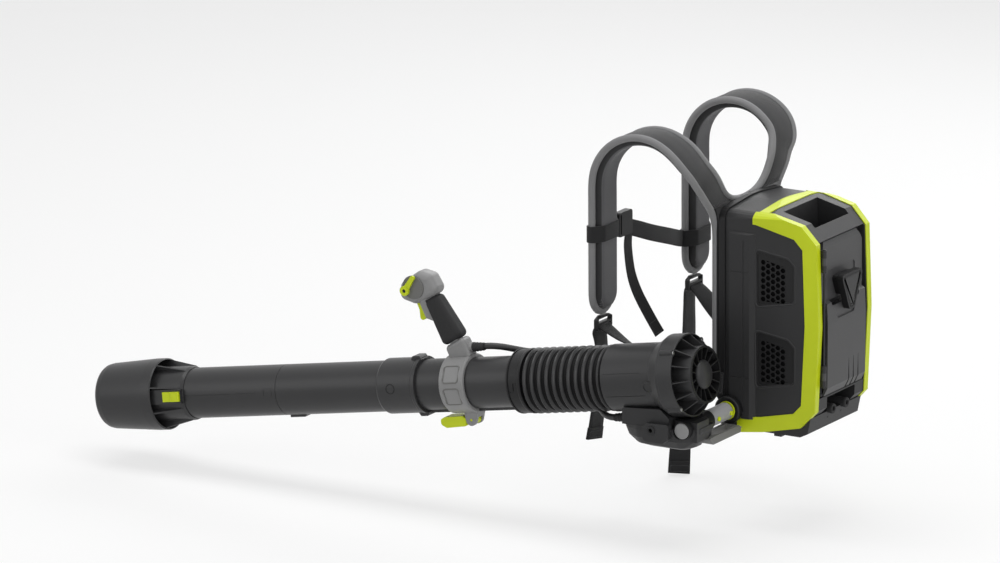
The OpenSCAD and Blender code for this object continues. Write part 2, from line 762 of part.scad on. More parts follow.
module barrel() placed() color(charcoal) on_tube() {
    r1 = barrel_r;
    r0 = ring_r;
    neck = hose_r - fold_depth - hose_wall - seat;
    z0 = ring_len + 0.1;
    z1 = ring_len + cone_len;
    difference() {
        union() {
            turned([[r0 - barrel_wall, z0], [r0, z0], [r0, z0 + 4], [r1 + 2, z1 - 2], [r1, z1 + 2], [r1, barrel_end],
                    [neck, barrel_end], [neck, barrel_end + 13], [neck - 2.4, barrel_end + 13],
                    [neck - 2.4, barrel_end - 5],
                    [r1 - barrel_wall, barrel_end - 9], [r1 - barrel_wall, z1], [duct_r + 4, z0 + 4],
                    [duct_r + 4, z0]]);
            // round boss on the near side
            rotate([0, 0, -96]) translate([r1 - 2, 0, z1 + 4]) rotate([0, 90, 0])
                cylinder(r = 10, h = 4.5);
        }
        rotate([0, 0, -96]) translate([r1 + 1.5, 0, z1 + 4]) rotate([0, 90, 0])
            cylinder(r = 7.5, h = 6);
        // long joint lines
        for (a = [-72, -112, 72, 112])
            rotate([0, 0, a]) translate([r1 - 0.8, -0.6, z1 + 14]) cube([4, 1.2, barrel_end - z1 - 20]);
    }
}

motor_z = 50;
motor_len = 62;

module stator() placed() color(black) on_tube() {
    difference() {
        union() {
            translate([0, 0, motor_z - 6]) cylinder(r = motor_r + 2.4, h = motor_len);
            intersection() {
                cylinder(r = barrel_r - barrel_wall - seat, h = barrel_end);
                for (i = [0 : vane_n - 1])
                    rotate([0, 0, 360 * i / vane_n]) translate([motor_r, 0, motor_z + 1]) rotate([12, 0, 0])
                        translate([0, -1, 0]) cube([barrel_r - motor_r, 2, motor_len - 16]);
            }
        }
        translate([0, 0, motor_z - 4]) cylinder(r = motor_r + seat, h = motor_len + 20);
        translate([0, 0, motor_z - 10]) cylinder(r = 9, h = 20);
    }
}

rotor_r = 4;

module motor() placed() color(copper) on_tube() {
    difference() {
        translate([0, 0, motor_z - 3.8]) cylinder(r = motor_r, h = motor_len);
        translate([0, 0, motor_z - 10]) cylinder(r = rotor_r + fit, h = motor_len - 10);
    }
    translate([0, 0, motor_z + motor_len - 3.8]) cylinder(r1 = motor_r, r2 = 8, h = 24);
}

fan_z = -8;
fan_len = 32;
tip_gap = 1;

module fan() placed() color(black) on_tube() {
    hub = hub_r - 1;
    difference() {
        union() {
            translate([0, 0, fan_z]) cylinder(r = hub, h = fan_len);
            for (i = [0 : blade_n - 1])
                rotate([0, 0, 360 * i / blade_n]) translate([hub - 2, 0, fan_z + fan_len / 2]) rotate([38, 0, 0])
                    translate([0, -1, -15]) cube([duct_r - duct_wall - tip_gap - hub + 1.2, 2, 30]);
        }
        translate([0, 0, fan_z - 1]) cylinder(r = rotor_r + 0.02, h = fan_len + 2);
        difference() {
            translate([0, 0, fan_z - 12]) cylinder(r = duct_r + 20, h = fan_len + 24);
            translate([0, 0, fan_z - 13])
                cylinder(r = duct_r - duct_wall - tip_gap, h = fan_len + 26);
        }
    }
}

module motor_shaft() placed() color(alloy) on_tube() {
    translate([0, 0, fan_z - 2]) cylinder(r = rotor_r, h = motor_z + motor_len - 22 - fan_z);
}

// The cradle that carries the barrel on the arm
cradle_top = 42;
cradle_front = -100;
cradle_back = 38;
cradle_near = -270;
cradle_far = -186;
peg = [-37, -275, 38.5];
peg_r = 3.5;

module cradle_outline(c) {
    polygon(rounded([[cradle_front + c, cradle_near + 12 + c], [-70, cradle_near + c], [cradle_back - 30, cradle_near + c],
                     [cradle_back - c, cradle_near + 22 + c], [cradle_back - c, cradle_far - c],
                     [cradle_front + c, cradle_far - c]], [14, 20, 14, 16, 16, 20]));
}

module cradle() placed() color(charcoal) {
    difference() {
        union() {
            hull() {
                translate([0, 0, cradle_top - 8]) linear_extrude(height = 8) cradle_outline(0);
                translate([0, 0, 20]) linear_extrude(height = 1) cradle_outline(4);
                translate([0, 0, 7]) linear_extrude(height = 1) cradle_outline(14);
                translate([0, 0, 1]) linear_extrude(height = 1) cradle_outline(28);
            }
            // upper case under the barrel
            translate([0, (cradle_near + cradle_far) / 2, 0]) slab_y(cradle_far - cradle_near - 2)
                polygon(rounded([[cradle_front + 2, cradle_top - 2], [-8, cradle_top - 2], [-8, 60],
                                 [-24, 74], [cradle_front + 2, 68]], [0, 0, 4, 6, 5]));
            // raised frame round the rubber peg
            translate([0, cradle_near - 2.5, 0]) slab_y(13)
                polygon(rounded([[-54, 18], [-14, 18], [-4, 26], [-4, 52], [-46, 50], [-54, 42]], [9, 5, 4, 4, 5, 5]));
            translate([peg[0], peg[1] + 18, peg[2]]) rotate([90, 0, 0]) cylinder(r = peg_r + 4.5, h = 23);
            // saddle arms that hold the arm's socket
            translate([arm_x - 22, -252, 20]) cube([44, 40, 34]);
        }
        on_arm() translate([0, 0, socket_start + 24]) cylinder(r = sleeve_r + 3, h = 5);
        on_arm() translate([0, 0, socket_start - 30]) cylinder(r = sleeve_r + 3, h = 58);
        on_arm() translate([0, 0, socket_start + 20]) cylinder(r = sleeve_r + 0.5 + seat, h = 200);
        translate([peg[0], peg[1] + 12, peg[2]]) rotate([90, 0, 0]) cylinder(r = peg_r, h = 40);
        on_tube() translate([0, 0, -40]) cylinder(r = ring_r + seat, h = 40 + ring_len + 0.1);
        on_tube() for (a = lug_angle)
            rotate([0, 0, a]) translate([ring_r - 2, 0, -20]) cylinder(r = 5.7, h = 21 + ring_len);
        on_tube() turned([[0, ring_len], [ring_r + seat, ring_len], [ring_r + seat, ring_len + 4 + seat],
                          [barrel_r + 2 + seat, ring_len + cone_len - 2 + seat],
                          [barrel_r + seat, ring_len + cone_len + 2 + seat], [barrel_r + seat, barrel_end + 40],
                          [0, barrel_end + 40]]);
        cut_rail();
    }
}

module cut_rail() {
    on_arm() translate([12 - 15 - seat, rail_z - 7 - seat, 0]) cube([30 + 2 * seat, 13 + 2 * seat, socket_start + 36 + seat]);
}

// ---------- ribbed hose ----------
hose_start = barrel_end;
hose_end = 307;
collar_end = 335;
fold_pitch = (hose_end - hose_start) / fold_n;
hose_wall = 2;

function fold_profile(r, d, from, step) =
    [for (i = [0 : fold_n - 1], k = [0 : 5])
        let (z = from + i * step, f = [0.08, 0.3, 0.42, 0.58, 0.7, 0.92][k], h = [0, 0.2, 1, 1, 0.2, 0][k])
        [r - d + d * h, z + f * step]];

module hose() placed() color(black) on_tube() {
    outer = fold_profile(hose_r, fold_depth, hose_start, fold_pitch);
    inner = fold_profile(hose_r - hose_wall, fold_depth - 0.4, hose_start, fold_pitch);
    root = hose_r - fold_depth;
    turned(concat([[root - hose_wall, hose_start + 0.1], [root, hose_start + 0.1]], outer,
                  [[root, hose_end], [root, hose_end + 12], [root - hose_wall, hose_end + 12]],
                  [for (i = [len(inner) - 1 : -1 : 0]) inner[i]]));
}

// ---------- blow tubes ----------
clamp_z = 448;       // middle of the handle's clamp along the tube
mid_end = 523;
lock_end = 600;
main_end = 807;
neck_z = 997;
bell_z = 1056;
mouth_z = 1175;
rail_w = 14;
rail_t = 4;

module hose_collar() placed() color(black) on_tube() {
    r = hose_r - 1.5;
    root = hose_r - fold_depth;
    difference() {
        turned([[root + seat, hose_end + 0.1], [r, hose_end + 0.1], [r + 1, hose_end + 2], [r + 1, hose_end + 4],
                [r, hose_end + 6], [r, collar_end - 6], [r - 1, collar_end - 5], [r - 1, collar_end - 3.5],
                [r + 0.6, collar_end - 3.5], [r + 0.6, collar_end - 1], [r - 1, collar_end],
                [tube_r + seat, collar_end], [tube_r + seat, hose_end + 15], [root + seat, hose_end + 12.2]]);
        // bayonet slots
        for (a = [-90, 90]) rotate([0, 0, a]) {
            translate([r - 1.2, -8, hose_end + 12]) cube([4, 16, 2]);
            translate([r - 1.2, 6, hose_end + 6]) cube([4, 2, 8]);
            translate([r - 1.2, -8, hose_end + 12]) cube([4, 2, 9]);
        }
    }
}

// Radius of the tube's underside key
key_r = tube_r + rail_t;

module tube_key(z0, z1, c) {
    translate([-key_r - c, -rail_w / 2 - c, z0]) cube([rail_t + 3 + c, rail_w + 2 * c, z1 - z0]);
}

module mid_tube() placed() color(charcoal) on_tube() {
    difference() {
        union() {
            translate([0, 0, hose_end + 16]) cylinder(r = tube_r, h = mid_end + 20 - hose_end - 16);
            tube_key(collar_end + 0.5, mid_end - 2, 0);
        }
        translate([0, 0, 0]) cylinder(r = tube_r - tube_wall, h = mouth_z);
    }
}

lock_r = tube_r + 4;

module lock_collar() placed() color(charcoal) on_tube() {
    difference() {
        union() {
            turned([[tube_r + seat, mid_end], [lock_r + 1.4, mid_end], [lock_r + 1.4, mid_end + 6], [lock_r, mid_end + 8],
                    [lock_r, lock_end - 3], [lock_r - 1.5, lock_end], [tube_r - tube_wall, lock_end],
                    [tube_r - tube_wall, mid_end + 21], [tube_r + seat, mid_end + 20.2]]);
            for (s = [-1, 1]) mirror([s < 0 ? 1 : 0, 0, 0])
                translate([0, 0, mid_end - 1]) in_plane(22) polygon(rounded(
                    [[0, lock_r - 2], [22, lock_r - 2], [18, lock_r + 4.6], [4, lock_r + 4.6]], [0, 0, 2, 2]));
        }
        translate([0, 0, mid_end - 2]) cylinder(r = tube_r + seat, h = 22);
        rotate([0, 0, -84]) translate([lock_r - 0.8, 0, mid_end + 48]) rotate([0, 90, 0]) difference() {
            cylinder(r = 8.5, h = 6);
            cylinder(r = 7.6, h = 6);
        }
    }
}

module main_tube() placed() color(charcoal) on_tube() {
    difference() {
        union() {
            translate([0, 0, lock_end + 0.1]) cylinder(r = tube_r, h = main_end - lock_end - 0.1);
            translate([0, 0, main_end - 34]) mirror([1, 0, 0]) in_plane(16) polygon(
                [[0, tube_r - 1], [34, tube_r - 1], [34, tube_r + 3.4], [4, tube_r + 3.4]]);
        }
        cylinder(r = tube_r - tube_wall, h = mouth_z);
    }
}

module front_tube() placed() color(charcoal) on_tube() {
    difference() {
        translate([0, 0, main_end + 0.1]) cylinder(r = tube_r, h = neck_z + 76 - main_end);
        cylinder(r = tube_r - tube_wall, h = mouth_z);
        // joint ring, guide line and square window mark
        difference() {
            translate([0, 0, main_end - 2]) cylinder(r = tube_r + 1, h = 3);
            cylinder(r = tube_r - 0.8, h = mouth_z);
        }
        rotate([0, 0, -84]) {
            translate([tube_r - 0.8, -0.8, main_end + 88]) cube([4, 1.6, 102]);
            translate([tube_r - 0.8, -0.6, main_end + 42]) cube([4, 1.2, 38]);
            difference() {
                translate([tube_r - 0.7, -8, main_end + 8]) cube([4, 16, 17]);
                translate([tube_r - 2, -7, main_end + 9]) cube([6, 14, 15]);
            }
        }
    }
}

neck_r = tube_r + 3.2;
bell_wall = 3;
latch_len = 36;
latch_w = 17;
latch_start = neck_z + 2;
latch_angle = -84;

module nozzle() placed() color(charcoal) on_tube() {
    inner = tube_r + 0.06;
    difference() {
        union() {
            // neck
            turned([[inner, neck_z], [neck_r - 2, neck_z], [neck_r, neck_z + 6], [neck_r + 1, bell_z + 20],
                    [inner, bell_z + 20]]);
            // bell
            turned([[bell_r - 2, bell_z], [bell_r, bell_z + 2], [bell_r, bell_z + 20], [mouth_r + 3, mouth_z - 12],
                    [mouth_r + 1.4, mouth_z - 4], [mouth_r - 1, mouth_z], [mouth_r - bell_wall - 1, mouth_z],
                    [mouth_r - bell_wall, mouth_z - 14], [bell_r - bell_wall, bell_z + 22],
                    [bell_r - bell_wall, bell_z + 1]]);
            for (i = [0 : fin_n - 1])
                rotate([0, 0, 360 * (i + 0.5) / fin_n]) rotate([90, 0, 0]) linear_extrude(height = 2.6, center = true)
                    polygon([[neck_r - 2, neck_z + 2], [neck_r + 1, neck_z + 6], [bell_r - 4, bell_z - 8],
                             [bell_r - 1.4, bell_z + 6], [bell_r - 1.4, bell_z + 18], [neck_r - 2, bell_z + 18]]);
            // housing of the latch
            rotate([0, 0, latch_angle]) translate([neck_r - 4, -latch_w / 2 - 4, neck_z + 1])
                cube([9, latch_w + 8, bell_z - neck_z + 4]);
        }
        translate([0, 0, neck_z - 1]) cylinder(r = inner, h = bell_z + 21 - neck_z);
        latch_well(gap / 2);
    }
}

module latch_well(c) {
    rotate([0, 0, latch_angle]) translate([neck_r - 2.6 - c, -latch_w / 2 - c, latch_start - c])
        cube([20, latch_w + 2 * c, latch_len + 2 * c]);
}

latch_press = 2;

module nozzle_latch() placed() color(lime) on_tube() rotate([0, 0, latch_angle]) {
    half_l = latch_len / 2;
    translate([neck_r - 2.6 + latch_press, 0, latch_start]) in_plane(latch_w) polygon(rounded(
        [[0, 0], [latch_len, 0], [latch_len, 7.4], [half_l + 3, 7.4], [half_l - 2, 9.6], [2, 9.6]],
        [0, 0, 1.5, 2, 2, 2]));
}

// ---------- handle ----------
clamp_bore = tube_r + fit;

// The handle's clamp frame: z runs forward from the middle of the clamp, x is up
module on_clamp() on_tube() translate([0, 0, clamp_z]) children();

grip_base = 75;      // height of the grip's lower end above the blow axis
grip_ahead = 5.5;    // how far it stands ahead of the clamp's middle
grip_lean = 23.3;    // forward lean of the grip

// The grip's frame: z runs up the grip, x points back from it
module on_grip() on_clamp() translate([grip_base, 0, grip_ahead]) rotate([0, 90 - grip_lean, 0]) children();

// A rounded block over points [x, z] in the grip's frame, w wide
module soft_block(pts, w, r) {
    hull() for (q = pts, s = [-1, 1])
        translate([q[0], s * (w / 2 - r), q[1]]) sphere(r = r, $fn = 24);
}

lever_pivot = [-62, -8];   // clamp lever's pin: height and distance ahead of the clamp's middle
ear_w = 26;
ear_t = 6;
ear_r = 10;

module handle_clamp() placed() color(light_grey) on_clamp() {
    half_c = clamp_w / 2;
    difference() {
        union() {
            turned([[clamp_bore, -half_c], [clamp_r - 2, -half_c], [clamp_r, 2 - half_c], [clamp_r, half_c - 2],
                    [clamp_r - 2, half_c], [clamp_bore, half_c]]);
            in_plane(ear_w) {
                translate([lever_pivot[1], lever_pivot[0]]) circle(r = ear_r);
                polygon([[-half_c, 3 - clamp_r], [lever_pivot[1] - ear_r + 0.5, lever_pivot[0] - 3],
                         [lever_pivot[1] + ear_r - 0.5, lever_pivot[0] - 3], [lever_pivot[1] + ear_r + 2, 3 - clamp_r]]);
            }
        }
        translate([0, 0, -half_c - 1]) cylinder(r = clamp_bore, h = clamp_w + 2);
        // groove for the tube's key
        translate([-key_r - gap, -rail_w / 2 - gap, -half_c - 1]) cube([20, rail_w + 2 * gap, clamp_w + 2]);
        // space between the two ears
        translate([lever_pivot[0] - 20, -ear_w / 2 + ear_t, lever_pivot[1] - ear_r - 2])
            cube([30, ear_w - 2 * ear_t, clamp_w]);
        translate([lever_pivot[0], 0, lever_pivot[1]]) rotate([90, 0, 0])
            cylinder(r = 2.5 + fit, h = 60, center = true);
        // sunk panels round the ring
        for (a = [-60, -106, 60, 106]) rotate([0, 0, a])
            translate([clamp_r - 1.6, 0, 0]) rotate([0, 90, 0]) linear_extrude(height = 4)
                polygon(rounded([[-14, -14], [14, -14], [14, 14], [-14, 14]], 4));
    }
}

module clamp_lever() placed() color(lime) on_clamp() {
    translate([lever_pivot[0], 0, lever_pivot[1]]) {
        difference() {
            union() {
                rotate([90, 0, 0]) cylinder(r = 8.5, h = ear_w - 2 * ear_t - 2 * gap, center = true);
                in_plane(ear_w - 2 * ear_t - 2 * gap) polygon([[0, -8.5], [20, -9], [20, 7], [0, 8.5]]);
                translate([0, 0, 11]) in_plane(ear_w) polygon(rounded(
                    [[0, -10], [40, -12], [50, -6], [50, 3], [42, 7], [6, 7.5], [0, 4]], [3, 6, 5, 4, 4, 3, 3]));
            }
            translate([-12.5, 0, 42]) rotate([0, 90, 0]) cylinder(r = 4, h = 2);
        }
        rotate([90, 0, 0]) cylinder(r = 2.5, h = ear_w - 2, center = true);
    }
}

head_w = 38;
trigger_w = 14;
trigger_pin = [-24, 90];
dial_c = [-15, 113];
lever_hub = [-30.5, 115];
lever_tip = [-3, 127.6];
boot_r = 8.5;
boot_z = -27;
boot_x = 62;

module handle_shell() placed() color(light_grey) {
    difference() {
        union() {
            on_grip() {
                // neck that stands on the clamp
                difference() {
                    soft_block([[14, -8], [-14, -8], [-17, -30], [10, -44]], grip_w - 3, 7);
                    translate([-50, -50, -0.1]) cube(100);
                }
                // spine inside the grip
                translate([-9, -9, -4]) cube([18, 18, grip_len + 8]);
                // head
                difference() {
                    soft_block([[12, 96], [12, 112], [2, 121], [-32, 119], [-38, 110], [-26, 98]], head_w, 12);
                    translate([-50, -50, grip_len + 0.1 - 100]) cube(100);
                }
                // body of the trigger
                difference() {
                    soft_block([[-18, 96], [-22, 60], [-14, 52], [-10, 96]], 24, 7);
                    translate([-11, -50, 40]) cube([60, 100, 44.1]);
                }
            }
            on_clamp() translate([boot_x, 0, boot_z]) cylinder(r = boot_r, h = 20);
        }
        on_clamp() cylinder(r = clamp_r + 0.1, h = 200, center = true);
        on_grip() {
            // trigger slot and pin holes
            translate([-60, -trigger_w / 2 - gap / 2, 50]) cube([44, trigger_w + gap, 46]);
            translate([trigger_pin[0], 0, trigger_pin[1]]) rotate([90, 0, 0])
                cylinder(r = 2 + fit, h = trigger_w + 7, center = true);
            // seat of the round cover, and the lever's bore
            translate([dial_c[0], -head_w / 2 - 3, dial_c[1]]) rotate([-90, 0, 0])
                cylinder(r = dial_r + seat, h = 5);
            translate([lever_hub[0], -head_w / 2 - 4, lever_hub[1]]) rotate([-90, 0, 0])
                cylinder(r = 3 + fit, h = 14);
        }
    }
}

module grip() placed() color(black) on_grip() {
    difference() {
        soft_block([[12, 9], [-12, 9], [-6, grip_len - 9], [6, grip_len - 9]], grip_w, 9);
        translate([-9 - seat, -9 - seat, -10]) cube([18 + 2 * seat, 18 + 2 * seat, grip_len + 30]);
        translate([-50, -13, 44]) cube([39.2, 26, 60]);
    }
}

module dial() placed() color(charcoal) on_grip() {
    difference() {
        translate([dial_c[0], -head_w / 2 - 1.2, dial_c[1]]) rotate([-90, 0, 0]) {
            cylinder(r = dial_r, h = 3.2);
            translate([0, 0, -0.6]) cylinder(r1 = dial_r - 1, r2 = dial_r, h = 0.6);
        }
        translate([lever_hub[0], -head_w / 2 - 4, lever_hub[1]]) rotate([-90, 0, 0])
            cylinder(r = 3 + fit, h = 14);
    }
}

module cruise_lever() placed() color(lime) on_grip() {
    y0 = -head_w / 2 - 2.2;
    reach = norm(lever_tip - lever_hub);
    translate([lever_hub[0], y0, lever_hub[1]]) rotate([90, 0, 0]) {
        difference() {
            union() {
                cylinder(r = 8.5, h = 5);
                rotate([0, 0, atan2(lever_tip[1] - lever_hub[1], lever_tip[0] - lever_hub[0])])
                    linear_extrude(height = 4) polygon(rounded(
                        [[0, -5.5], [reach - 6, -4], [reach + 2, -4], [reach + 2, 4], [reach - 6, 4], [0, 5.5]], [0, 9, 3, 3, 9, 0]));
            }
            translate([0, 0, 3]) cylinder(r = 3.2, h = 5);
        }
        translate([0, 0, -7]) cylinder(r = 3, h = 7);
    }
}

module trigger() placed() color(lime) on_grip() {
    slab_y(trigger_w) polygon(rounded([[-17.5, 94], [-25, 94.5], [-31, 90], [-33, 76], [-39.5, 62], [-37, 57],
        [-29, 58], [-21, 64]], [3, 3, 3, 12, 3, 2, 3, 6]));
    translate([trigger_pin[0], 0, trigger_pin[1]]) rotate([90, 0, 0])
        cylinder(r = 2, h = trigger_w + 6, center = true);
}

// ---------- control cable ----------
// Points along the cable, each [distance forward, height, towards the pack] in the tube's frame
cable_points = [[420.6, 62, 0], [410, 62, 0.5], [393, 61.5, 6], [376, 57, 17], [360, 50, 29], [345, 43, 41],
                [332, 39, 49], [316, 31, 55], [300, 20, 60], [284, 8, 63], [268, -6, 63], [252, -21, 60],
                [236, -35, 53], [220, -48, 41], [204, -58, 26], [188, -63, 9], [172, -65, -4], [158, -66, -9],
                [146, -66, -10], [134.2, -66, -10]];
cable_split = 10;    // where the upper run ends and the lower one starts, in steps of the route
cable_route = smooth_path([for (q = cable_points) [q[1], q[2], q[0]]], 2);

// The stretch of the control cable between two steps of its route
module cable(from, to) placed() color(black) on_tube()
    skin([for (i = [from : to])
        let (t = tangent(cable_route, i), u = unit(cross([0, 1, 0.2], t)), v = cross(t, u),
             c = cable_route[i] + (i == from && from > 0 ? 2 * seat * t : [0, 0, 0]))
        [for (j = [0 : 7]) c + cable_d / 2 * (cos(45 * j) * u + sin(45 * j) * v)]]);

module cable_upper() cable(0, cable_split);
module cable_lower() cable(cable_split, len(cable_route) - 1);

// ---------- harness ----------
pad_z0 = 44;
pad_z1 = 387.6;
pad_edge = [1, 0.985, 0.95, 0.9, 0.86, 0.8, 0.7, 0.58, 0.45, 0.3, 0.16, 0.07, 0];
pad_rows = [0, 4, 12, 24, 40, 60, 80, 92, 100, 120, 150, 180, 200, 208, 228, 255, 280, 300, 316, 328, 338];
pad_channels = [92, 204];

// Half width of the back pad at a height above its lower end
function pad_half(v) = pack_half + 3 - 18 * pow(max(0, 1 - v / 26), 2) + 6 * pow(max(0, (v - 280) / 64), 2);

// Thickness of the pad at a share of its half width and a height
function pad_depth(f, v) =
    let (edge = (1 - f) * pack_half, w = max(0, min(1, min(v, pad_z1 - pad_z0 - v) / 18)),
         rim = edge < 14 ? pad_rim * sqrt(1 - pow((edge - 7) / 9.5, 2)) : 0,
         bed = pad_rim - 8,
         c = max(0, 1 - pow((f - 0.44) / 0.4, 2)),
         fold = max([for (k = pad_channels) exp(-pow((v - k) / 6, 2))]),
         cushion = bed + (8 + pad_crown) * sqrt(c) * (1 - 0.7 * fold))
    max(rim, w * cushion + (1 - w) * pad_rim * (edge < 3 ? 0.5 : 1), 6);

module back_pad() placed() color(black) {
    fr = concat(pad_edge, [for (i = [len(pad_edge) - 2 : -1 : 0]) -pad_edge[i]]);
    rows = concat(pad_rows, [pad_z1 - pad_z0]);
    skin([for (v = rows)
        let (h = pad_half(v))
        concat([[-plate_t, -h, pad_z0 + v], [-plate_t, h, pad_z0 + v]],
               [for (f = fr) [-plate_t - pad_depth(abs(f), v), f * h, pad_z0 + v]])]);
}

strap_x = -15.5;       // where the strap's arch stands over the back pad
strap_z = 421;         // height of the arch's centre
root_y = 111;          // where the arch starts, from the middle plane
root_half = 52;        // half width of a strap where it meets the pad
waist = 12;            // how much narrower each half of a strap is just above its root
bead = strap_t / 2;

// Right half of a strap's section, from its edge inwards: [distance in from the edge, height outwards]
outer_side = [[0, 0], [bead * 0.3, bead * 0.71], [bead, bead], [bead * 1.7, bead * 0.71], [bead * 2.1, bead * 0.3]];
inner_side = [[bead * 0.3, -bead * 0.71], [bead, -bead], [bead * 1.8, -bead * 0.75], [bead * 2.2, -bead * 0.45],
              [bead * 2.6, 1 - strap_pad], [bead * 3.6, -strap_pad]];

// A full ring of the section for a half width; full is 1 along the strap and 0 at its two ends,
// where the ring is a plain ellipse
function section(half, full) =
    let (right = [for (q = outer_side) [half - q[0], q[1]]],
         left = [for (i = [len(outer_side) - 1 : -1 : 0]) [outer_side[i][0] - half, outer_side[i][1]]],
         under_left = [for (q = inner_side) [q[0] - half, q[1]]],
         under_right = [for (i = [len(inner_side) - 1 : -1 : 0]) [half - inner_side[i][0], inner_side[i][1]]])
    [for (q = concat(right, left, under_left, under_right))
        [q[0], full * q[1] + (1 - full) * sign(q[1]) * bead * sqrt(max(0, 1 - pow(q[0] / half, 2)))]];

// A strap's middle line, each entry [point, half width]
function arch_half(a) = strap_w / 2 - waist * exp(-pow((a - 12) / 22, 2));
root = [[[strap_x, root_half + 0.5, 388], root_half], [[strap_x, 80, 396], 40], [[strap_x, 99, 408], 33]];
arch = [for (a = [0 : 12 : 180]) [
    [strap_x - strap_r + strap_r * cos(a), strap_y - (strap_y - root_y) * pow(1 - sin(min(a, 90)), 1.8),
     strap_z + strap_r * sin(a)], arch_half(a)]];
leg_x = strap_x - 2 * strap_r;
leg = [for (k = [0.2, 0.45, 0.7]) [[leg_x, strap_y, strap_z - k * leg_len], strap_w / 2]];
tip = [for (a = [0, 25, 45, 60, 72]) [
    [leg_x, strap_y, strap_z - leg_len + strap_w / 2 - strap_w / 2 * sin(a)], strap_w / 2 * cos(a)]];
strap_line = concat(root, arch, leg, tip);

module strap() {
    n = len(strap_line);
    pts = [for (q = strap_line) q[0]];
    skin([for (i = [0 : n - 1])
        let (q = strap_line[i], t = i == 0 ? [0, 0, 1] : i >= len(root) + len(arch) ? [0, 0, -1] : tangent(pts, i),
             c = [strap_x - strap_r, q[0][1], strap_z],
             out0 = q[0][2] > strap_z ? unit(q[0] - c) : [q[0][0] < strap_x - strap_r ? -1 : 1, 0, 0],
             across = unit(cross(t, out0)), out = cross(across, t),
             full = i == 0 || i == n - 1 ? 0 : i == 1 || i == n - 2 ? 0.7 : 1)
        [for (s = section(q[1], full)) q[0] + s[0] * across + s[1] * out]]);
}

module strap_right() placed() color(black) strap();
module strap_left() placed() color(black) mirror([0, 1, 0]) strap();

lock_z = strap_z - leg_len - 14;
lock_w = web_w + 10;

module ladder_lock(side) placed() color(black) translate([leg_x, side * (strap_y - 3), lock_z]) {
    difference() {
        slab_x(-4, 4) polygon(rounded([[-lock_w / 2, -12], [lock_w / 2, -12], [lock_w / 2, 8], [12, 13.4],
                                       [-12, 13.4], [-lock_w / 2, 8]], [4, 4, 3, 3, 3, 3]));
        for (z = [-9, 2]) translate([-10, -web_w / 2 - 1.5, z]) cube([20, web_w + 3, 7]);
    }
}

module ladder_lock_left() ladder_lock(-1);
module ladder_lock_right() ladder_lock(1);

// A lower webbing runs from the side of the back plate up to the lock, through it and down its loose end
function web_run(side) = [[3, side * 105, 84], [-14, side * 106, 85], [-45, side * 110, 90], [-85, side * 120, 104],
    [-125, side * 132, 124], [leg_x + 38, side * (strap_y - 11), lock_z - 30],
    [leg_x + 10, side * (strap_y - 3), lock_z - 10.5], [leg_x, side * (strap_y - 3), lock_z - 5.5],
    [leg_x - 8, side * (strap_y - 3), lock_z - 12]];
web_left = [[leg_x - 9.5, -147, 140], [leg_x - 8.5, -143, 105], [leg_x - 8.5, -142, 60], [-214, -143, 10],
            [-220, -146, -37]];
web_right = [[leg_x - 10.5, 156, 130], [leg_x - 12.5, 158, 80], [-220, 160, 10], [-228, 162, -60],
             [-233, 162, -120], [-236, 162, -171]];

module web(side, loose, turn) placed() color(web_black) {
    path = smooth_path(concat(web_run(side), loose), 2);
    n = len(path) - 1;
    at_lock = 2 * (len(web_run(side)) - 2);
    // its width stands upright on the plate, lies level at the lock and turns across the view as it hangs
    ribbon(path, [for (i = [0 : n])
        let (s = min(1, i / at_lock), rise = 90 * (1 - s * s * (3 - 2 * s)),
             a = turn * pow(max(0, (i - at_lock - 2) / (n - at_lock - 2)), 2))
        [sin(a), cos(a) * cos(rise), side * sin(rise)]], web_w, web_t);
}

module webbing_left() web(-1, web_left, 12);
module webbing_right() web(1, web_right, 58);

chest_left = [leg_x, -strap_y, 337];
chest_right = [leg_x, strap_y, 261];
chest_line = [[leg_x, -strap_y + 74, 335], [leg_x + 0.5, -strap_y + 91, 333], [leg_x + 3, -42, 322],
              [leg_x + 6, 0, 305], [leg_x + 5, 60, 281], [leg_x + 0.5, strap_y - strap_w / 2 - 14, 262.3],
              [leg_x, strap_y - strap_w / 2 - 2.8, 262]];
chest_tail = [[leg_x + 4.5, -strap_y + 80, 326], [leg_x + 5, -strap_y + 79.5, 311], [leg_x + 8, -84, 290],
              [leg_x + 16, -88, 250], [leg_x + 22, -78, 215],
              [leg_x + 34, -62, 175], [leg_x + 50, -50, 138]];
loop_in = 0.5;

// A loop of webbing round a strap's front leg
module chest_loop(c) {
    w = strap_w / 2 + loop_in;
    x0 = -strap_t / 2 - loop_in;
    x1 = strap_t / 2 + loop_in;
    x2 = strap_pad + loop_in;
    inside = [[x0, -w], [x1, -w], [x2, -w + 3 * bead], [x2, w - 3 * bead], [x1, w], [x0, w]];
    translate([c[0], c[1], c[2] - chest_w / 2]) linear_extrude(height = chest_w) difference() {
        polygon(rounded(inset(inside, -web_t), 5));
        polygon(rounded(inside, 3));
    }
}

module chest_strap() placed() color(web_black) {
    chest_loop(chest_left);
    chest_loop(chest_right);
    line = smooth_path(chest_line, 3);
    ribbon(line, [for (q = line) [0, 0, 1]], chest_w, web_t);
    tail = smooth_path(chest_tail, 3);
    n = len(tail) - 1;
    ribbon(tail, [for (i = [0 : n]) [0.5 * i / n, 1 - 0.14 * i / n, 0]], chest_w * 0.7, web_t);
}

buckle_w = 44;

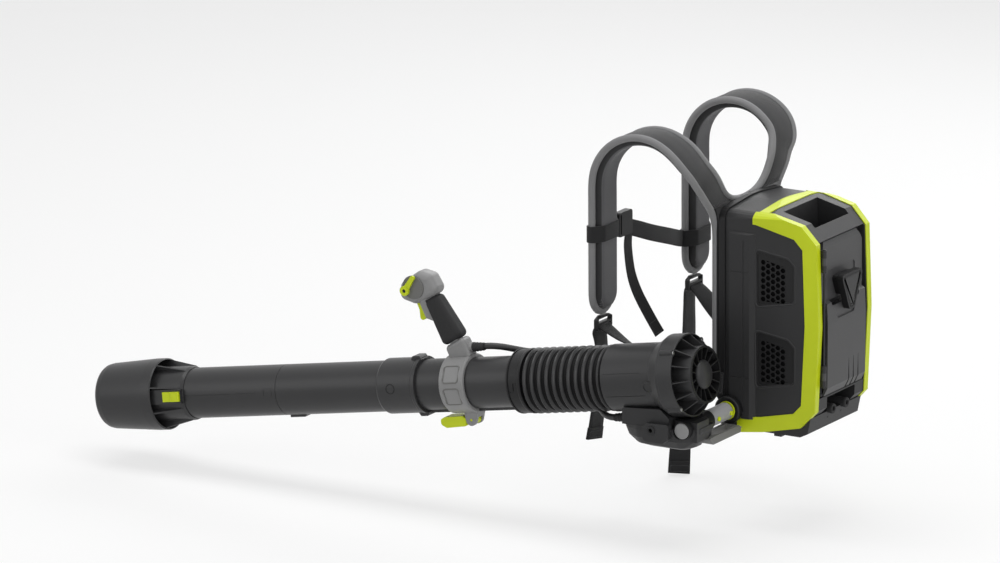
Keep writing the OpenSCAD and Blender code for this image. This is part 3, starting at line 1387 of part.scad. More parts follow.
module chest_buckle() placed() color(black) translate([leg_x + 2, -strap_y + strap_w / 2 + 3 + buckle_w / 2, 336]) {
    difference() {
        slab_x(-5, 7) polygon(rounded(box_outline(-buckle_w / 2, buckle_w / 2, -22, 20), 5));
        slab_x(-20, 20) polygon(box_outline(-buckle_w / 2 + 4, -buckle_w / 2 + 8, -18, 16));
        translate([-5.5, 6, -chest_w / 2 - 4]) cube([7, 30, chest_w + 6]);
        translate([0.5, 4, -30]) cube([4, 22, 22]);
    }
}

housing();
trim_band();
back_plate();
post_left();
post_right();
vent_left_upper();
vent_left_lower();
vent_right_upper();
vent_right_lower();
battery_pack();
terminal_block();
controller();
hinge_pin();
back_pad();
strap_left();
strap_right();
chest_strap();
chest_buckle();
webbing_left();
webbing_right();
ladder_lock_left();
ladder_lock_right();
arm_boss();
arm_ring();
door_panel();
door_block();
door_latch();
arm_shaft();
arm_sleeve();
arm_socket();
arm_cap();
arm_rail();
cradle();
barrel();
intake_ring();
intake_grille();
stator();
motor();
hose();
snap_button_inner();
snap_button_outer();
fan();
motor_shaft();
hose_collar();
mid_tube();
lock_collar();
main_tube();
front_tube();
nozzle();
nozzle_latch();
handle_clamp();
handle_shell();
grip();
dial();
trigger();
cruise_lever();
clamp_lever();
cable_upper();
cable_lower();
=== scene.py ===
# %% [markdown]
# # A backpack leaf blower
# The machine is a battery pack on moulded shoulder straps. A fan unit hangs on a side arm, and a ribbed
# hose, three tube pieces and a flared nozzle lead the air forward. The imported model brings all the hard
# parts to scale; this file dresses them and makes what is soft, worn or too fine for a solid modeller.

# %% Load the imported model
import math

import bmesh
import bpy
import numpy as np
from mathutils import Matrix, Vector


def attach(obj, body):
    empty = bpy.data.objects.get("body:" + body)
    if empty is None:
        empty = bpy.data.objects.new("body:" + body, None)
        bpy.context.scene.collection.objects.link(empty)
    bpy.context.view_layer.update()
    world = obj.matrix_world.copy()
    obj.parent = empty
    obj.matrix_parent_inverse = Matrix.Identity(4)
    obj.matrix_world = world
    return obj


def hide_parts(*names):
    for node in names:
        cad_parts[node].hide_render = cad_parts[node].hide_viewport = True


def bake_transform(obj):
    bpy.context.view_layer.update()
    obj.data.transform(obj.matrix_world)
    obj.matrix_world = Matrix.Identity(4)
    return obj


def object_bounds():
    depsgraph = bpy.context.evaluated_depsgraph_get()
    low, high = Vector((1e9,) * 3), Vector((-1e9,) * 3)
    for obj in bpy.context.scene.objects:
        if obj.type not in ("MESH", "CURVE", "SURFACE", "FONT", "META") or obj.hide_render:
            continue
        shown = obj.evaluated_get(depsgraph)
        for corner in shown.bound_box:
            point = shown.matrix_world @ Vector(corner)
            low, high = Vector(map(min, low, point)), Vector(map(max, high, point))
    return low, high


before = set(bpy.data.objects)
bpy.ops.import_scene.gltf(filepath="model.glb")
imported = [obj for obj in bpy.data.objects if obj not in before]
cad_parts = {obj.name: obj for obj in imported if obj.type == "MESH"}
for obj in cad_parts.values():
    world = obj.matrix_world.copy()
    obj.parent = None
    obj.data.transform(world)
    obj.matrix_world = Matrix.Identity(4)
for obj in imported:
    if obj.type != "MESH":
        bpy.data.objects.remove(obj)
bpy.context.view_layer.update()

# %% [markdown]
# The drawing office measured in millimetres from the front face of the pack, and along the blow tube's own
# axis. Two small functions turn those numbers into the frame's metres, so every size below can be read
# straight off the part's drawing. A third does the same for the grip, which leans back from the tube.

# %% Three ways to name a point
PACK_ORIGIN = np.array([32.0, 0.0, -200.0])
TUBE_ORIGIN = np.array([44.5, -226.0, -71.0])
PITCH = math.radians(9.5)
FORWARD = np.array([-math.cos(PITCH), 0.0, -math.sin(PITCH)])
TUBE_UP = np.array([-math.sin(PITCH), 0.0, math.cos(PITCH)])
INWARD = np.array([0.0, 1.0, 0.0])
GRIP_AT, GRIP_FOOT = 453.5, 75.0
GRIP_LEAN = math.radians(66.7)


def on_pack(x, y, z):
    return (PACK_ORIGIN + [x, y, z]) / 1000


def on_tube(ahead, up, inward):
    return (TUBE_ORIGIN + ahead * FORWARD + up * TUBE_UP + inward * INWARD) / 1000


def on_grip(back, inward, up):
    return on_tube(GRIP_AT - back * math.sin(GRIP_LEAN) + up * math.cos(GRIP_LEAN),
                   GRIP_FOOT + back * math.cos(GRIP_LEAN) + up * math.sin(GRIP_LEAN), inward)


print("tube mouth at", np.round(on_tube(1175, 0, 0), 3))

# %% [markdown]
# ## Camera
# The machine is seen from its left rear, a little from above, by a long lens that stands far away, so that
# the sides of the pack hardly converge. A camera could be aimed with a Track To constraint, but when its
# three axes are written down, one pixel of the picture can be tied to one point of the pack.

# %% Camera
AZIMUTH = math.radians(31.0)
ELEVATION = math.radians(14.6)
ROLL = math.radians(0.3)
DISTANCE = 16.2
PIXELS_PER_METRE = 590.5
PACK_PIXEL = (752.0, 417.2)
PICTURE = (1000, 563)
SENSOR = 36.0

level = np.array([math.cos(AZIMUTH), math.sin(AZIMUTH), 0.0])
plumb = np.array([-math.sin(AZIMUTH) * math.sin(ELEVATION), math.cos(AZIMUTH) * math.sin(ELEVATION),
                  math.cos(ELEVATION)])
towards = np.cross(level, plumb)
right = level * math.cos(ROLL) - plumb * math.sin(ROLL)
upward = plumb * math.cos(ROLL) + level * math.sin(ROLL)
aim = (on_pack(0, 0, 0) - right * (PACK_PIXEL[0] - PICTURE[0] / 2) / PIXELS_PER_METRE
       + upward * (PACK_PIXEL[1] - PICTURE[1] / 2) / PIXELS_PER_METRE)
axes = np.stack([right, upward, towards], 1)
camera = bpy.data.objects.new("camera", bpy.data.cameras.new("camera"))
bpy.context.scene.collection.objects.link(camera)
camera.matrix_world = Matrix([[*row, place] for row, place in zip(axes, aim + towards * DISTANCE)]
                             + [[0, 0, 0, 1]])
camera.data.sensor_width = SENSOR
camera.data.lens = SENSOR * DISTANCE * PIXELS_PER_METRE / PICTURE[0]
camera.data.clip_end = 100
bpy.context.scene.camera = camera
bpy.context.scene.view_settings.view_transform = "Standard"
print("lens", round(camera.data.lens, 1), "mm")

# %% [markdown]
# ## Building blocks
# Hoses, cables, straps and webbing are all one idea: a section carried along a line. A Bezier curve with a
# bevel could draw some of them, but a mesh made of rings can change its section on the way and keeps a flat
# map in metres, which the weaves need later to run along the cloth. First come the lines.

# %% Lines through points
def unit(v):
    v = np.asarray(v, float)
    return v / np.linalg.norm(v)


def held(share):
    """Keeps a share between 0 and 1."""
    return max(0.0, min(1.0, share))


def eased(share):
    """A share that leaves 0 and reaches 1 gently."""
    return share * share * (3 - 2 * share)


def smooth_line(points, per):
    """A curve through the points, with some steps between each two."""
    p = np.asarray(points, float)
    ends = np.vstack([p[0], p, p[-1]])
    line = []
    for i in range(len(p) - 1):
        a, b, c, d = ends[i:i + 4]
        for t in np.arange(per) / per:
            line.append(0.5 * (2 * b + (c - a) * t + (2 * a - 5 * b + 4 * c - d) * t * t
                               + (3 * b - a - 3 * c + d) * t ** 3))
    return np.array(line + [p[-1]])


def directions(line):
    ahead = np.vstack([line[1:], line[-1:]])
    behind = np.vstack([line[:1], line[:-1]])
    return (ahead - behind) / np.linalg.norm(ahead - behind, axis=1)[:, None]


def distances_along(line):
    """How far each point lies from the start, measured along the line."""
    return np.concatenate([[0], np.cumsum(np.linalg.norm(np.diff(line, axis=0), axis=1))])


def length_of(line):
    return float(distances_along(line)[-1])


def circle_in(across, beside, sides):
    """A circle of radius 1 in the plane of two directions."""
    turn = np.arange(sides) * 2 * math.pi / sides
    return np.outer(np.cos(turn), across) + np.outer(np.sin(turn), beside)


print("a curve through 3 points has", len(smooth_line([[0, 0, 0], [1, 0, 0], [1, 1, 0]], 4)), "points")

# %% [markdown]
# Most pieces are made with one helper, the skin. It joins rings of points with four-sided faces, closes the
# ends or the loop, and writes the flat map: the way round the ring against the way along the line. The
# normals are set by Blender's own operator, so that no ring has to be listed in the right sense.

# %% Rings into a skin
def new_piece(name, mesh, materials):
    piece = bpy.data.objects.new(name, mesh)
    bpy.context.scene.collection.objects.link(piece)
    for finish in materials:
        mesh.materials.append(finish)
    return piece


def face_outwards(mesh):
    solid = bmesh.new()
    solid.from_mesh(mesh)
    bmesh.ops.recalc_face_normals(solid, faces=solid.faces)
    solid.to_mesh(mesh)
    solid.free()


def skin(name, rings, materials, finish_of=None, loop=False):
    """A tube over rings of points in metres, capped or joined to a loop, with a flat map (round, along)."""
    rings = np.asarray(rings, float)
    count, around = rings.shape[:2]
    spans = count if loop else count - 1
    mesh = bpy.data.meshes.new(name)
    faces, kinds = [], []
    for i in range(spans):
        for j in range(around):
            k, n = (j + 1) % around, (i + 1) % count
            faces.append((i * around + j, i * around + k, n * around + k, n * around + j))
            kinds.append(finish_of(i, j) if finish_of else 0)
    if not loop:
        for i, order in ((0, -1), (count - 1, 1)):
            faces.append(tuple(i * around + j for j in range(around))[::order])
            kinds.append(kinds[0])
    mesh.from_pydata(rings.reshape(-1, 3).tolist(), [], faces)
    mesh.polygons.foreach_set("material_index", kinds)
    mesh.polygons.foreach_set("use_smooth", [True] * len(faces))
    middle, centre = rings[count // 2], rings.mean(1)
    round_at = distances_along(np.vstack([middle, middle[:1]]))
    along_at = distances_along(np.vstack([centre, centre[:1]]) if loop else centre)
    place = []
    for i in range(spans):
        for j in range(around):
            place += [(round_at[j], along_at[i]), (round_at[j + 1], along_at[i]),
                      (round_at[j + 1], along_at[i + 1]), (round_at[j], along_at[i + 1])]
    place += [(0, 0)] * (len(mesh.loops) - len(place))
    mesh.uv_layers.new(name="flat").data.foreach_set("uv", np.array(place).ravel())
    mesh.update()
    face_outwards(mesh)
    return new_piece(name, mesh, materials)


print("skin ready")

# %% [markdown]
# A cable is round sections along a line, and a boot, a bush or a ring is round sections along an axis, as on
# a lathe. Both are skins, so two small helpers list their rings. A third shades a piece smooth but keeps its
# real edges, and a fourth says which body a piece rides on. The Spin tool could turn the round pieces too,
# but it works in edit mode, one piece at a time.

# %% Round sections and turned pieces
def round_rings(line, radius, sides, start=(0, 1, 0.2)):
    """Round sections along a line; start is a direction that the line never takes."""
    rings = []
    for point, ahead in zip(line, directions(line)):
        across = unit(np.cross(start, ahead))
        rings.append(point + radius * circle_in(across, np.cross(ahead, across), sides))
    return rings


def sharpen(piece, degrees):
    """Shades a piece smooth but keeps the edges that really are edges."""
    piece.data.polygons.foreach_set("use_smooth", [True] * len(piece.data.polygons))
    piece.data.set_sharp_from_angle(angle=math.radians(degrees))


def settle(piece, body, degrees=None):
    """Rides a piece on its body and, where asked, keeps its edges."""
    if degrees:
        sharpen(piece, degrees)
    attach(piece, body)
    return piece


def ring_stack(name, centre, axis, stations, finish, body, bore=None, sides=48):
    """A turned piece: stations are [along the axis, radius] in mm from the centre."""
    axis = unit(axis)
    across = unit(np.cross(axis, (0.3, 0.9, 0.1)))
    wheel = circle_in(across, np.cross(axis, across), sides)
    path = list(stations) + ([(stations[-1][0], bore), (stations[0][0], bore)] if bore else [])
    rings = [centre + (axis * s + wheel * r) / 1000 for s, r in path]
    return settle(skin(name, rings, [finish], loop=bore is not None), body, 35)


print("round sections and turned pieces ready")

# %% [markdown]
# ## Finishes
# Every finish is made of nodes, so it has grain at any distance and needs no picture. A chain of nodes is
# tedious to write, so three helpers do it: one adds any node, one adds a sum and one mixes two colours. Each
# takes either a number or the socket that feeds it.

# %% Node helpers
def colour(red, green, blue):
    """A colour as it is seen on a screen, 0 to 255, turned into light."""
    return tuple(((c / 255 + 0.055) / 1.055) ** 2.4 if c > 10 else c / 255 / 12.92
                 for c in (red, green, blue)) + (1.0,)


def feed(tree, socket, value):
    """Sets a socket to a value, or links it to the socket that feeds it."""
    if isinstance(value, bpy.types.NodeSocket):
        tree.links.new(value, socket)
    else:
        socket.default_value = value


def node(tree, kind, **settings):
    """A node; a setting that names a socket gives its value, or the socket that feeds it."""
    made = tree.nodes.new(kind)
    sockets = {}
    for key, value in settings.items():
        if hasattr(made, key):
            setattr(made, key, value)
        else:
            sockets[key.replace("_", " ")] = value
    for key, value in sockets.items():
        feed(tree, next(s for s in made.inputs if s.name == key and s.enabled), value)
    return made


def sum_of(tree, operation, *values):
    made = tree.nodes.new("ShaderNodeMath")
    made.operation = operation
    for socket, value in zip(made.inputs, values):
        feed(tree, socket, value)
    return made.outputs[0]


def blend_colours(tree, share, first, second):
    made = tree.nodes.new("ShaderNodeMix")
    made.data_type = "RGBA"
    for number, value in ((0, share), (6, first), (7, second)):
        feed(tree, made.inputs[number], value)
    return made.outputs[2]


def new_finish(name):
    finish = bpy.data.materials.new(name)
    finish.use_nodes = True
    tree = finish.node_tree
    return finish, tree, tree.nodes["Principled BSDF"]


print("mid grey gives", round(colour(128, 128, 128)[0], 3), "of the light")

# %% [markdown]
# Moulded plastic is not one grey: the tool leaves a fine leathery grain, the colour drifts a little where the
# plastic flowed, and edges that rub turn paler. The pale edges are also a painted highlight, standing for the
# light that a rounded edge catches. A mask of the edges kept in a picture would need a picture for each part.
# A Bevel node does without: it rounds the light on sharp edges and, compared with the true normal, shows
# where those edges are.

# %% Moulded plastic
def plastic(name, paint, rough, grain=0.10, pitch=1.1, wear_and_highlight=0.35, gloss=0.5, edge=0.5):
    """Moulded plastic; grain is the depth in mm, pitch its size in mm, edge the edges' radius in mm."""
    finish, tree, shader = new_finish(name)
    place = node(tree, "ShaderNodeTexCoord").outputs["Object"]
    flow = node(tree, "ShaderNodeTexNoise", Vector=place, Scale=9.0, Detail=4.0).outputs["Fac"]
    leather = node(tree, "ShaderNodeTexVoronoi", Vector=place, Scale=1000 / pitch).outputs["Distance"]
    speck = node(tree, "ShaderNodeTexNoise", Vector=place, Scale=420.0, Detail=2.0).outputs["Fac"]
    rounded = node(tree, "ShaderNodeBevel", samples=4, Radius=edge / 1000).outputs[0]
    facing = node(tree, "ShaderNodeVectorMath", operation="DOT_PRODUCT")
    feed(tree, facing.inputs[0], rounded)
    feed(tree, facing.inputs[1], node(tree, "ShaderNodeNewGeometry").outputs["Normal"])
    # Edges turn paler: partly wear, partly a painted highlight for the light that a rounded edge catches.
    rubbed_and_highlit = node(tree, "ShaderNodeMapRange", Value=facing.outputs["Value"], From_Min=1.0, From_Max=0.9,
                  To_Max=wear_and_highlight).outputs[0]
    rubbed_and_highlit = sum_of(tree, "MULTIPLY", rubbed_and_highlit, sum_of(tree, "ADD", flow, 0.3))
    drift = sum_of(tree, "MULTIPLY_ADD", flow, 0.22, 0.89)
    tone = node(tree, "ShaderNodeHueSaturation", Color=paint, Value=drift).outputs[0]
    pale = tuple(min(1.0, c * 1.9 + 0.05) for c in paint[:3]) + (1.0,)
    feed(tree, shader.inputs["Base Color"], blend_colours(tree, rubbed_and_highlit, tone, pale))
    feed(tree, shader.inputs["Roughness"], sum_of(tree, "MULTIPLY_ADD", speck, 0.16, rough - 0.08))
    bump = node(tree, "ShaderNodeBump", Strength=0.55, Distance=grain / 1000, Height=leather,
                Normal=rounded)
    feed(tree, shader.inputs["Normal"], bump.outputs[0])
    shader.inputs["Specular IOR Level"].default_value = gloss
    return finish


print("plastic ready")

# %% [markdown]
# Metal shows in few places: the arm's shaft, the motor, the screws. What gives turned steel away is the way
# its marks run, so a noise is stretched in one direction and drives both the bump and the roughness. An
# anisotropic shader could bend the highlights too, but on pieces of this size nobody would see it.

# %% Metal
def metal(name, paint, rough, brush):
    """Metal; brush is how strongly the turning or rolling marks run round it."""
    finish, tree, shader = new_finish(name)
    place = node(tree, "ShaderNodeTexCoord").outputs["Object"]
    cloud = node(tree, "ShaderNodeTexNoise", Vector=place, Scale=35.0, Detail=5.0).outputs["Fac"]
    stretched = node(tree, "ShaderNodeMapping", Vector=place, Scale=(60.0, 900.0, 60.0)).outputs[0]
    marks = node(tree, "ShaderNodeTexNoise", Vector=stretched, Scale=1.0, Detail=3.0).outputs["Fac"]
    tone = node(tree, "ShaderNodeHueSaturation", Color=paint,
                Value=sum_of(tree, "MULTIPLY_ADD", cloud, 0.2, 0.9)).outputs[0]
    feed(tree, shader.inputs["Base Color"], tone)
    feed(tree, shader.inputs["Roughness"], sum_of(tree, "MULTIPLY_ADD", marks, 0.2, rough - 0.1))
    rounded = node(tree, "ShaderNodeBevel", samples=4, Radius=0.0003).outputs[0]
    bump = node(tree, "ShaderNodeBump", Strength=brush, Distance=0.00005, Height=marks, Normal=rounded)
    feed(tree, shader.inputs["Normal"], bump.outputs[0])
    shader.inputs["Metallic"].default_value = 1.0
    return finish


print("metal ready")

# %% [markdown]
# Cloth is threads that cross. A picture of a weave would repeat and blur close up, so each family of threads
# is a sine wave on the flat map, and the families multiply: where two threads are high, the cloth is high.
# The same height darkens the gaps between the threads, a painted shade, and a sheen gives the soft rim that
# fibres have.

# %% Woven cloth
def waves(tree, flat, across, along, size):
    """Threads that cross a flat map; across and along give their slant and size is their pitch in mm."""
    split = node(tree, "ShaderNodeSeparateXYZ", Vector=flat)
    lean = sum_of(tree, "ADD", sum_of(tree, "MULTIPLY", split.outputs[0], across),
                  sum_of(tree, "MULTIPLY", split.outputs[1], along))
    phase = sum_of(tree, "MULTIPLY", lean, 2 * math.pi * 1000 / size)
    return sum_of(tree, "MULTIPLY_ADD", sum_of(tree, "SINE", phase), 0.5, 0.5)


def cloth(name, paint, weave, depth=0.25, sheen=0.25, rough=0.85, dark=0.45):
    """Woven cloth; weave is a list of (slant across, slant along, pitch in mm) of its threads."""
    finish, tree, shader = new_finish(name)
    flat = node(tree, "ShaderNodeUVMap", uv_map="flat").outputs[0]
    place = node(tree, "ShaderNodeTexCoord").outputs["Object"]
    height = waves(tree, flat, *weave[0])
    for family in weave[1:]:
        height = sum_of(tree, "MULTIPLY", height, waves(tree, flat, *family))
    fuzz = node(tree, "ShaderNodeTexNoise", Vector=place, Scale=700.0, Detail=3.0).outputs["Fac"]
    fade = node(tree, "ShaderNodeTexNoise", Vector=place, Scale=12.0, Detail=3.0).outputs["Fac"]
    # The low places between the threads are darker: a painted shade.
    light = sum_of(tree, "ADD", sum_of(tree, "MULTIPLY", height, 1 - dark),
                   sum_of(tree, "MULTIPLY", fade, 0.25))
    light = sum_of(tree, "ADD", light, dark)
    feed(tree, shader.inputs["Base Color"],
         node(tree, "ShaderNodeHueSaturation", Color=paint, Value=light).outputs[0])
    relief = sum_of(tree, "ADD", height, sum_of(tree, "MULTIPLY", fuzz, 0.5))
    bump = node(tree, "ShaderNodeBump", Strength=0.8, Distance=depth / 1000, Height=relief)
    feed(tree, shader.inputs["Normal"], bump.outputs[0])
    shader.inputs["Roughness"].default_value = rough
    shader.inputs["Specular IOR Level"].default_value = 0.25
    shader.inputs["Sheen Weight"].default_value = sheen
    shader.inputs["Sheen Roughness"].default_value = 0.4
    return finish


print("cloth ready")

# %% [markdown]
# The machine has a few greys and one loud colour. The housing is charcoal with a fine grain, and the tubes
# are the same plastic off a smoother tool. The door is that same charcoal too, painted a little lighter
# because
# its side is lit more: painted light. The handle is a pale grey, and everything that is meant to be touched
# or found by hand is lime.

# %% Finishes of the hard parts
charcoal = plastic("charcoal_moulding", colour(44, 44, 45), 0.46, gloss=0.25)
fan_grey = plastic("charcoal_fan_case", colour(44, 44, 45), 0.42, grain=0.05, gloss=0.3)
tube_grey = plastic("charcoal_tube", colour(45, 45, 46), 0.38, grain=0.03, gloss=0.33)
# The door is the housing's charcoal painted lighter: painted light for its more brightly lit side.
door_grey_painted_light = plastic("charcoal_door_painted_light", colour(68, 68, 69), 0.46, gloss=0.3)
black = plastic("black_moulding", colour(24, 24, 25), 0.46, gloss=0.25)
lime = plastic("lime_moulding", colour(193, 208, 24), 0.4, grain=0.04, wear_and_highlight=0.12, gloss=0.3)
pale_grey = plastic("pale_grey_moulding", colour(132, 132, 132), 0.42, grain=0.05, wear_and_highlight=0.25, gloss=0.35)
dial_grey = plastic("mid_grey_moulding", colour(106, 106, 104), 0.5, grain=0.08, wear_and_highlight=0.2, gloss=0.3)
rubber = plastic("soft_black_rubber", colour(33, 33, 34), 0.72, grain=0.2, pitch=1.6, wear_and_highlight=0.1, gloss=0.35)
hose_black = plastic("hose_rubber", colour(44, 44, 45), 0.36, grain=0.03, wear_and_highlight=0.15, gloss=0.35, edge=0.3)
# The hose's valleys take a darker rubber than its ribs: a painted shade.
hose_valley_painted_shade = plastic("hose_rubber_valley_painted_shade", colour(16, 16, 17), 0.6, grain=0.03, wear_and_highlight=0.1, gloss=0.15,
                      edge=0.3)
jacket = plastic("cable_jacket", colour(30, 30, 31), 0.5, grain=0.03, wear_and_highlight=0.1, edge=0.3)
silver = plastic("silver_sleeve", colour(158, 158, 160), 0.4, grain=0.02, wear_and_highlight=0.2, gloss=0.6)
alloy = metal("alloy", colour(176, 178, 181), 0.4, brush=0.2)
steel = metal("steel", colour(150, 150, 150), 0.3, brush=0.2)
blackened = metal("blackened_steel", colour(58, 58, 60), 0.42, brush=0.2)
can = metal("motor_can", colour(150, 96, 60), 0.35, brush=0.3)
print("finishes of the hard parts:", len(bpy.data.materials))

# %% [markdown]
# ## Control cable
# A thick round cable brings the trigger's signal back to the fan unit. It leaves a socket under the handle,
# swings down on the pack's side of the hose and comes back under it into the cradle. The handle slides and
# the hose bends, so the cable is made as two stretches, each a mesh tube.

# %% Control cable
CABLE_POINTS = [[420.6, 62, 0], [410, 62, 0.5], [393, 61.5, 6], [376, 57, 17], [360, 50, 29], [345, 43, 41],
                [332, 39, 49], [316, 31, 55], [300, 20, 60], [284, 8, 63], [268, -6, 63], [252, -21, 60],
                [236, -35, 53], [220, -48, 41], [204, -58, 26], [188, -63, 9], [172, -65, -4], [158, -66, -9],
                [146, -66, -10], [134.2, -66, -10]]
CABLE_RADIUS = 5.6
CABLE_SIDES = 14
CABLE_JOINT = 5
CABLE_GAP = 0.0004
CABLE_STEPS = 6

cable_line = np.array([on_tube(*p) for p in smooth_line(CABLE_POINTS, CABLE_STEPS)])
upper_line = cable_line[:CABLE_JOINT * CABLE_STEPS + 1]
lower_line = cable_line[CABLE_JOINT * CABLE_STEPS:].copy()
lower_line[0] += directions(lower_line)[0] * CABLE_GAP


def make_cable(name, line, node_name):
    piece = skin(name, round_rings(line, CABLE_RADIUS / 1000, CABLE_SIDES), [jacket])
    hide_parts(node_name)
    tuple(line[0])
    length_of(line)
    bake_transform(piece)
    print(name, round(length_of(line), 3), "m")


make_cable("cable_upper_jacket", upper_line, "cable_upper")
make_cable("cable_lower_jacket", lower_line, "cable_lower")

# %% [markdown]
# Where the cable enters its two sockets, a ribbed rubber boot keeps it from kinking. A boot is round, so it
# is turned: a list of radii along the cable's own direction, thick at the socket and thin at the free end. A
# Screw modifier would do the same, but needs its axis laid along the cable first.

# %% Boots on the cable
BOOT = [(-0.5, 8.2), (2, 8.4), (3, 7.4), (5, 7.4), (6, 8.0), (8, 7.9), (9, 7.0), (11, 7.0), (12, 7.5),
        (14, 7.4), (15, 6.7), (17, 6.7), (18, 7.0), (20, 6.9), (22, 6.2)]
BOOT_BORE = CABLE_RADIUS + 0.1
cable_runs = directions(cable_line)
ring_stack("cable_boot_handle", cable_line[0], cable_runs[0], BOOT, rubber, "handle",
           BOOT_BORE)
ring_stack("cable_boot_cradle", cable_line[-1], -cable_runs[-1], BOOT, rubber, "blower",
           BOOT_BORE)
print("boots", BOOT[-1][0] - BOOT[0][0], "mm long")

# %% [markdown]
# ## Floor and light
# The floor is a pale sheet just below the end of the longest webbing, the machine's lowest point. It glows a
# little for the camera, so that it fades into the pale world behind it, yet it still takes the shadows. A
# sweep bent up behind the machine would hide the horizon too, but it would stand in the way when the machine
# is seen from behind.

# %% Floor
FLOOR_HALF, FLOOR_DROP = 30, 0.002
FLOOR_GLOW = 0.62
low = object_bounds()[0][2] - FLOOR_DROP
corners = [(x * FLOOR_HALF, y * FLOOR_HALF, low) for x, y in ((-1, -1), (1, -1), (1, 1), (-1, 1))]
floor = new_piece("floor", bpy.data.meshes.new("floor"), [])
floor.data.from_pydata(corners, [], [(0, 1, 2, 3)])


def seen_by_eye(tree):
    """1 where the camera, a gloss or a glass looks at it, 0 where it only gives light."""
    rays = node(tree, "ShaderNodeLightPath")
    return sum_of(tree, "MAXIMUM", rays.outputs["Is Camera Ray"],
                  sum_of(tree, "MAXIMUM", rays.outputs["Is Glossy Ray"], rays.outputs["Is Transmission Ray"]))


paper, tree, shader = new_finish("floor_paper")
shader.inputs["Base Color"].default_value = (0.86, 0.86, 0.86, 1)
shader.inputs["Roughness"].default_value = 0.9
shader.inputs["Specular IOR Level"].default_value = 0.1
glow = node(tree, "ShaderNodeEmission", Color=(1, 1, 1, 1), Strength=1.0)
pale = node(tree, "ShaderNodeMixShader")
feed(tree, pale.inputs[0], sum_of(tree, "MULTIPLY", seen_by_eye(tree), FLOOR_GLOW))
feed(tree, pale.inputs[1], shader.outputs[0])
feed(tree, pale.inputs[2], glow.outputs[0])
feed(tree, tree.nodes["Material Output"].inputs["Surface"], pale.outputs[0])
floor.data.materials.append(paper)
print("floor at", round(low, 3))

# %% [markdown]
# Large soft lamps stand where a product studio has them: one broad one above, one on each side for the bright
# lines along the tube, and one behind that lifts the straps off the background. The world is bright for the
# camera and for reflections and weaker as a light, so that the shadows keep their depth.

# %% World and lamps
SKY_FILL, SKY_SEEN = 0.4, 0.55
world = bpy.data.worlds.new("studio")
bpy.context.scene.world = world
world.use_nodes = True
tree = world.node_tree
tree.nodes.clear()
strength = sum_of(tree, "MULTIPLY_ADD", seen_by_eye(tree), SKY_SEEN, SKY_FILL)
sky = node(tree, "ShaderNodeBackground", Color=(1, 1, 1, 1), Strength=strength)
feed(tree, node(tree, "ShaderNodeOutputWorld").inputs[0], sky.outputs[0])

LAMP_AIM = (-0.3, -0.1, 0.0)
LAMPS = {"lamp_above": ((-0.3, -0.2, 3.2), (3.4, 1.6), 70), "lamp_left": ((-2.6, -2.6, 1.2), (1.4, 2.2), 16),
         "lamp_right": ((3.2, -1.4, 1.3), (1.6, 2.2), 32), "lamp_behind": ((-0.4, 3.0, 1.7), (3.4, 1.2), 45)}
for name, (place, size, watts) in LAMPS.items():
    light = bpy.data.lights.new(name, "AREA")
    light.shape = "RECTANGLE"
    light.size, light.size_y = size
    light.energy = watts
    stand = bpy.data.objects.new(name, light)
    bpy.context.scene.collection.objects.link(stand)
    stand.location = place
    stand.rotation_euler = (Vector(LAMP_AIM) - Vector(place)).to_track_quat("-Z", "Y").to_euler()
print("lamps", len(LAMPS))

# %% [markdown]
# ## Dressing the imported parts
# A hard part whose shape is right keeps its solid and only changes its finish. One table says which part is
# made of what, so nothing is left in the plain colour that it was packed with.

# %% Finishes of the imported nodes
DRESS = {
    charcoal: ["housing", "post_left", "post_right", "battery_pack", "cradle"],
    fan_grey: ["barrel", "intake_ring"],
    door_grey_painted_light: ["door_panel"],
    tube_grey: ["mid_tube", "lock_collar", "main_tube", "front_tube", "nozzle"],
    dial_grey: ["dial", "arm_rail"],
    black: ["back_plate", "vent_left_upper", "vent_left_lower", "vent_right_upper", "vent_right_lower",
            "terminal_block", "chest_buckle", "ladder_lock_left", "ladder_lock_right", "arm_boss",
            "door_block", "arm_socket", "intake_grille", "stator", "fan", "hose_collar"],
    lime: ["trim_band", "arm_ring", "door_latch", "snap_button_inner", "snap_button_outer", "nozzle_latch",
           "trigger", "cruise_lever", "clamp_lever"],
    pale_grey: ["arm_cap", "handle_clamp", "handle_shell"],
    rubber: ["grip", "hose", "cable_upper", "cable_lower", "back_pad", "strap_left", "strap_right"],
    silver: ["arm_sleeve"],
    alloy: ["controller", "arm_shaft"],
    steel: ["motor_shaft"],
    blackened: ["hinge_pin"],
    can: ["motor"],
    jacket: ["webbing_left", "webbing_right", "chest_strap"],
}
for finish, names in DRESS.items():
    for name in names:
        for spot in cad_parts[name].material_slots:
            spot.material = finish
print("dressed", sum(len(names) for names in DRESS.values()), "of", len(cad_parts))

# %% [markdown]
# ## Cloth finishes
# Four cloths meet on the harness. The outer face is a tight plain weave, the piping round the edges is a
# smooth pale tape, the cushions are an open spacer mesh that lets the back breathe, and the webbing is woven
# with a slanting rib. Each is drawn as threads that cross on the flat map, one size for each cloth.

# %% Finishes of the soft parts
outer_cloth = cloth("harness_outer_cloth", colour(64, 64, 65), [(1, 0, 1.3), (0, 1, 1.3)], depth=0.2)
piping = cloth("harness_piping", colour(128, 128, 129), [(1, 1, 1.0), (1, -1, 1.0)], depth=0.12, dark=0.75,
               sheen=0.15, rough=0.7)
spacer_mesh = cloth("harness_spacer_mesh", colour(104, 104, 106), [(0.87, 0.5, 2.6), (0.87, -0.5, 2.6)],
                    depth=0.5, dark=0.5)
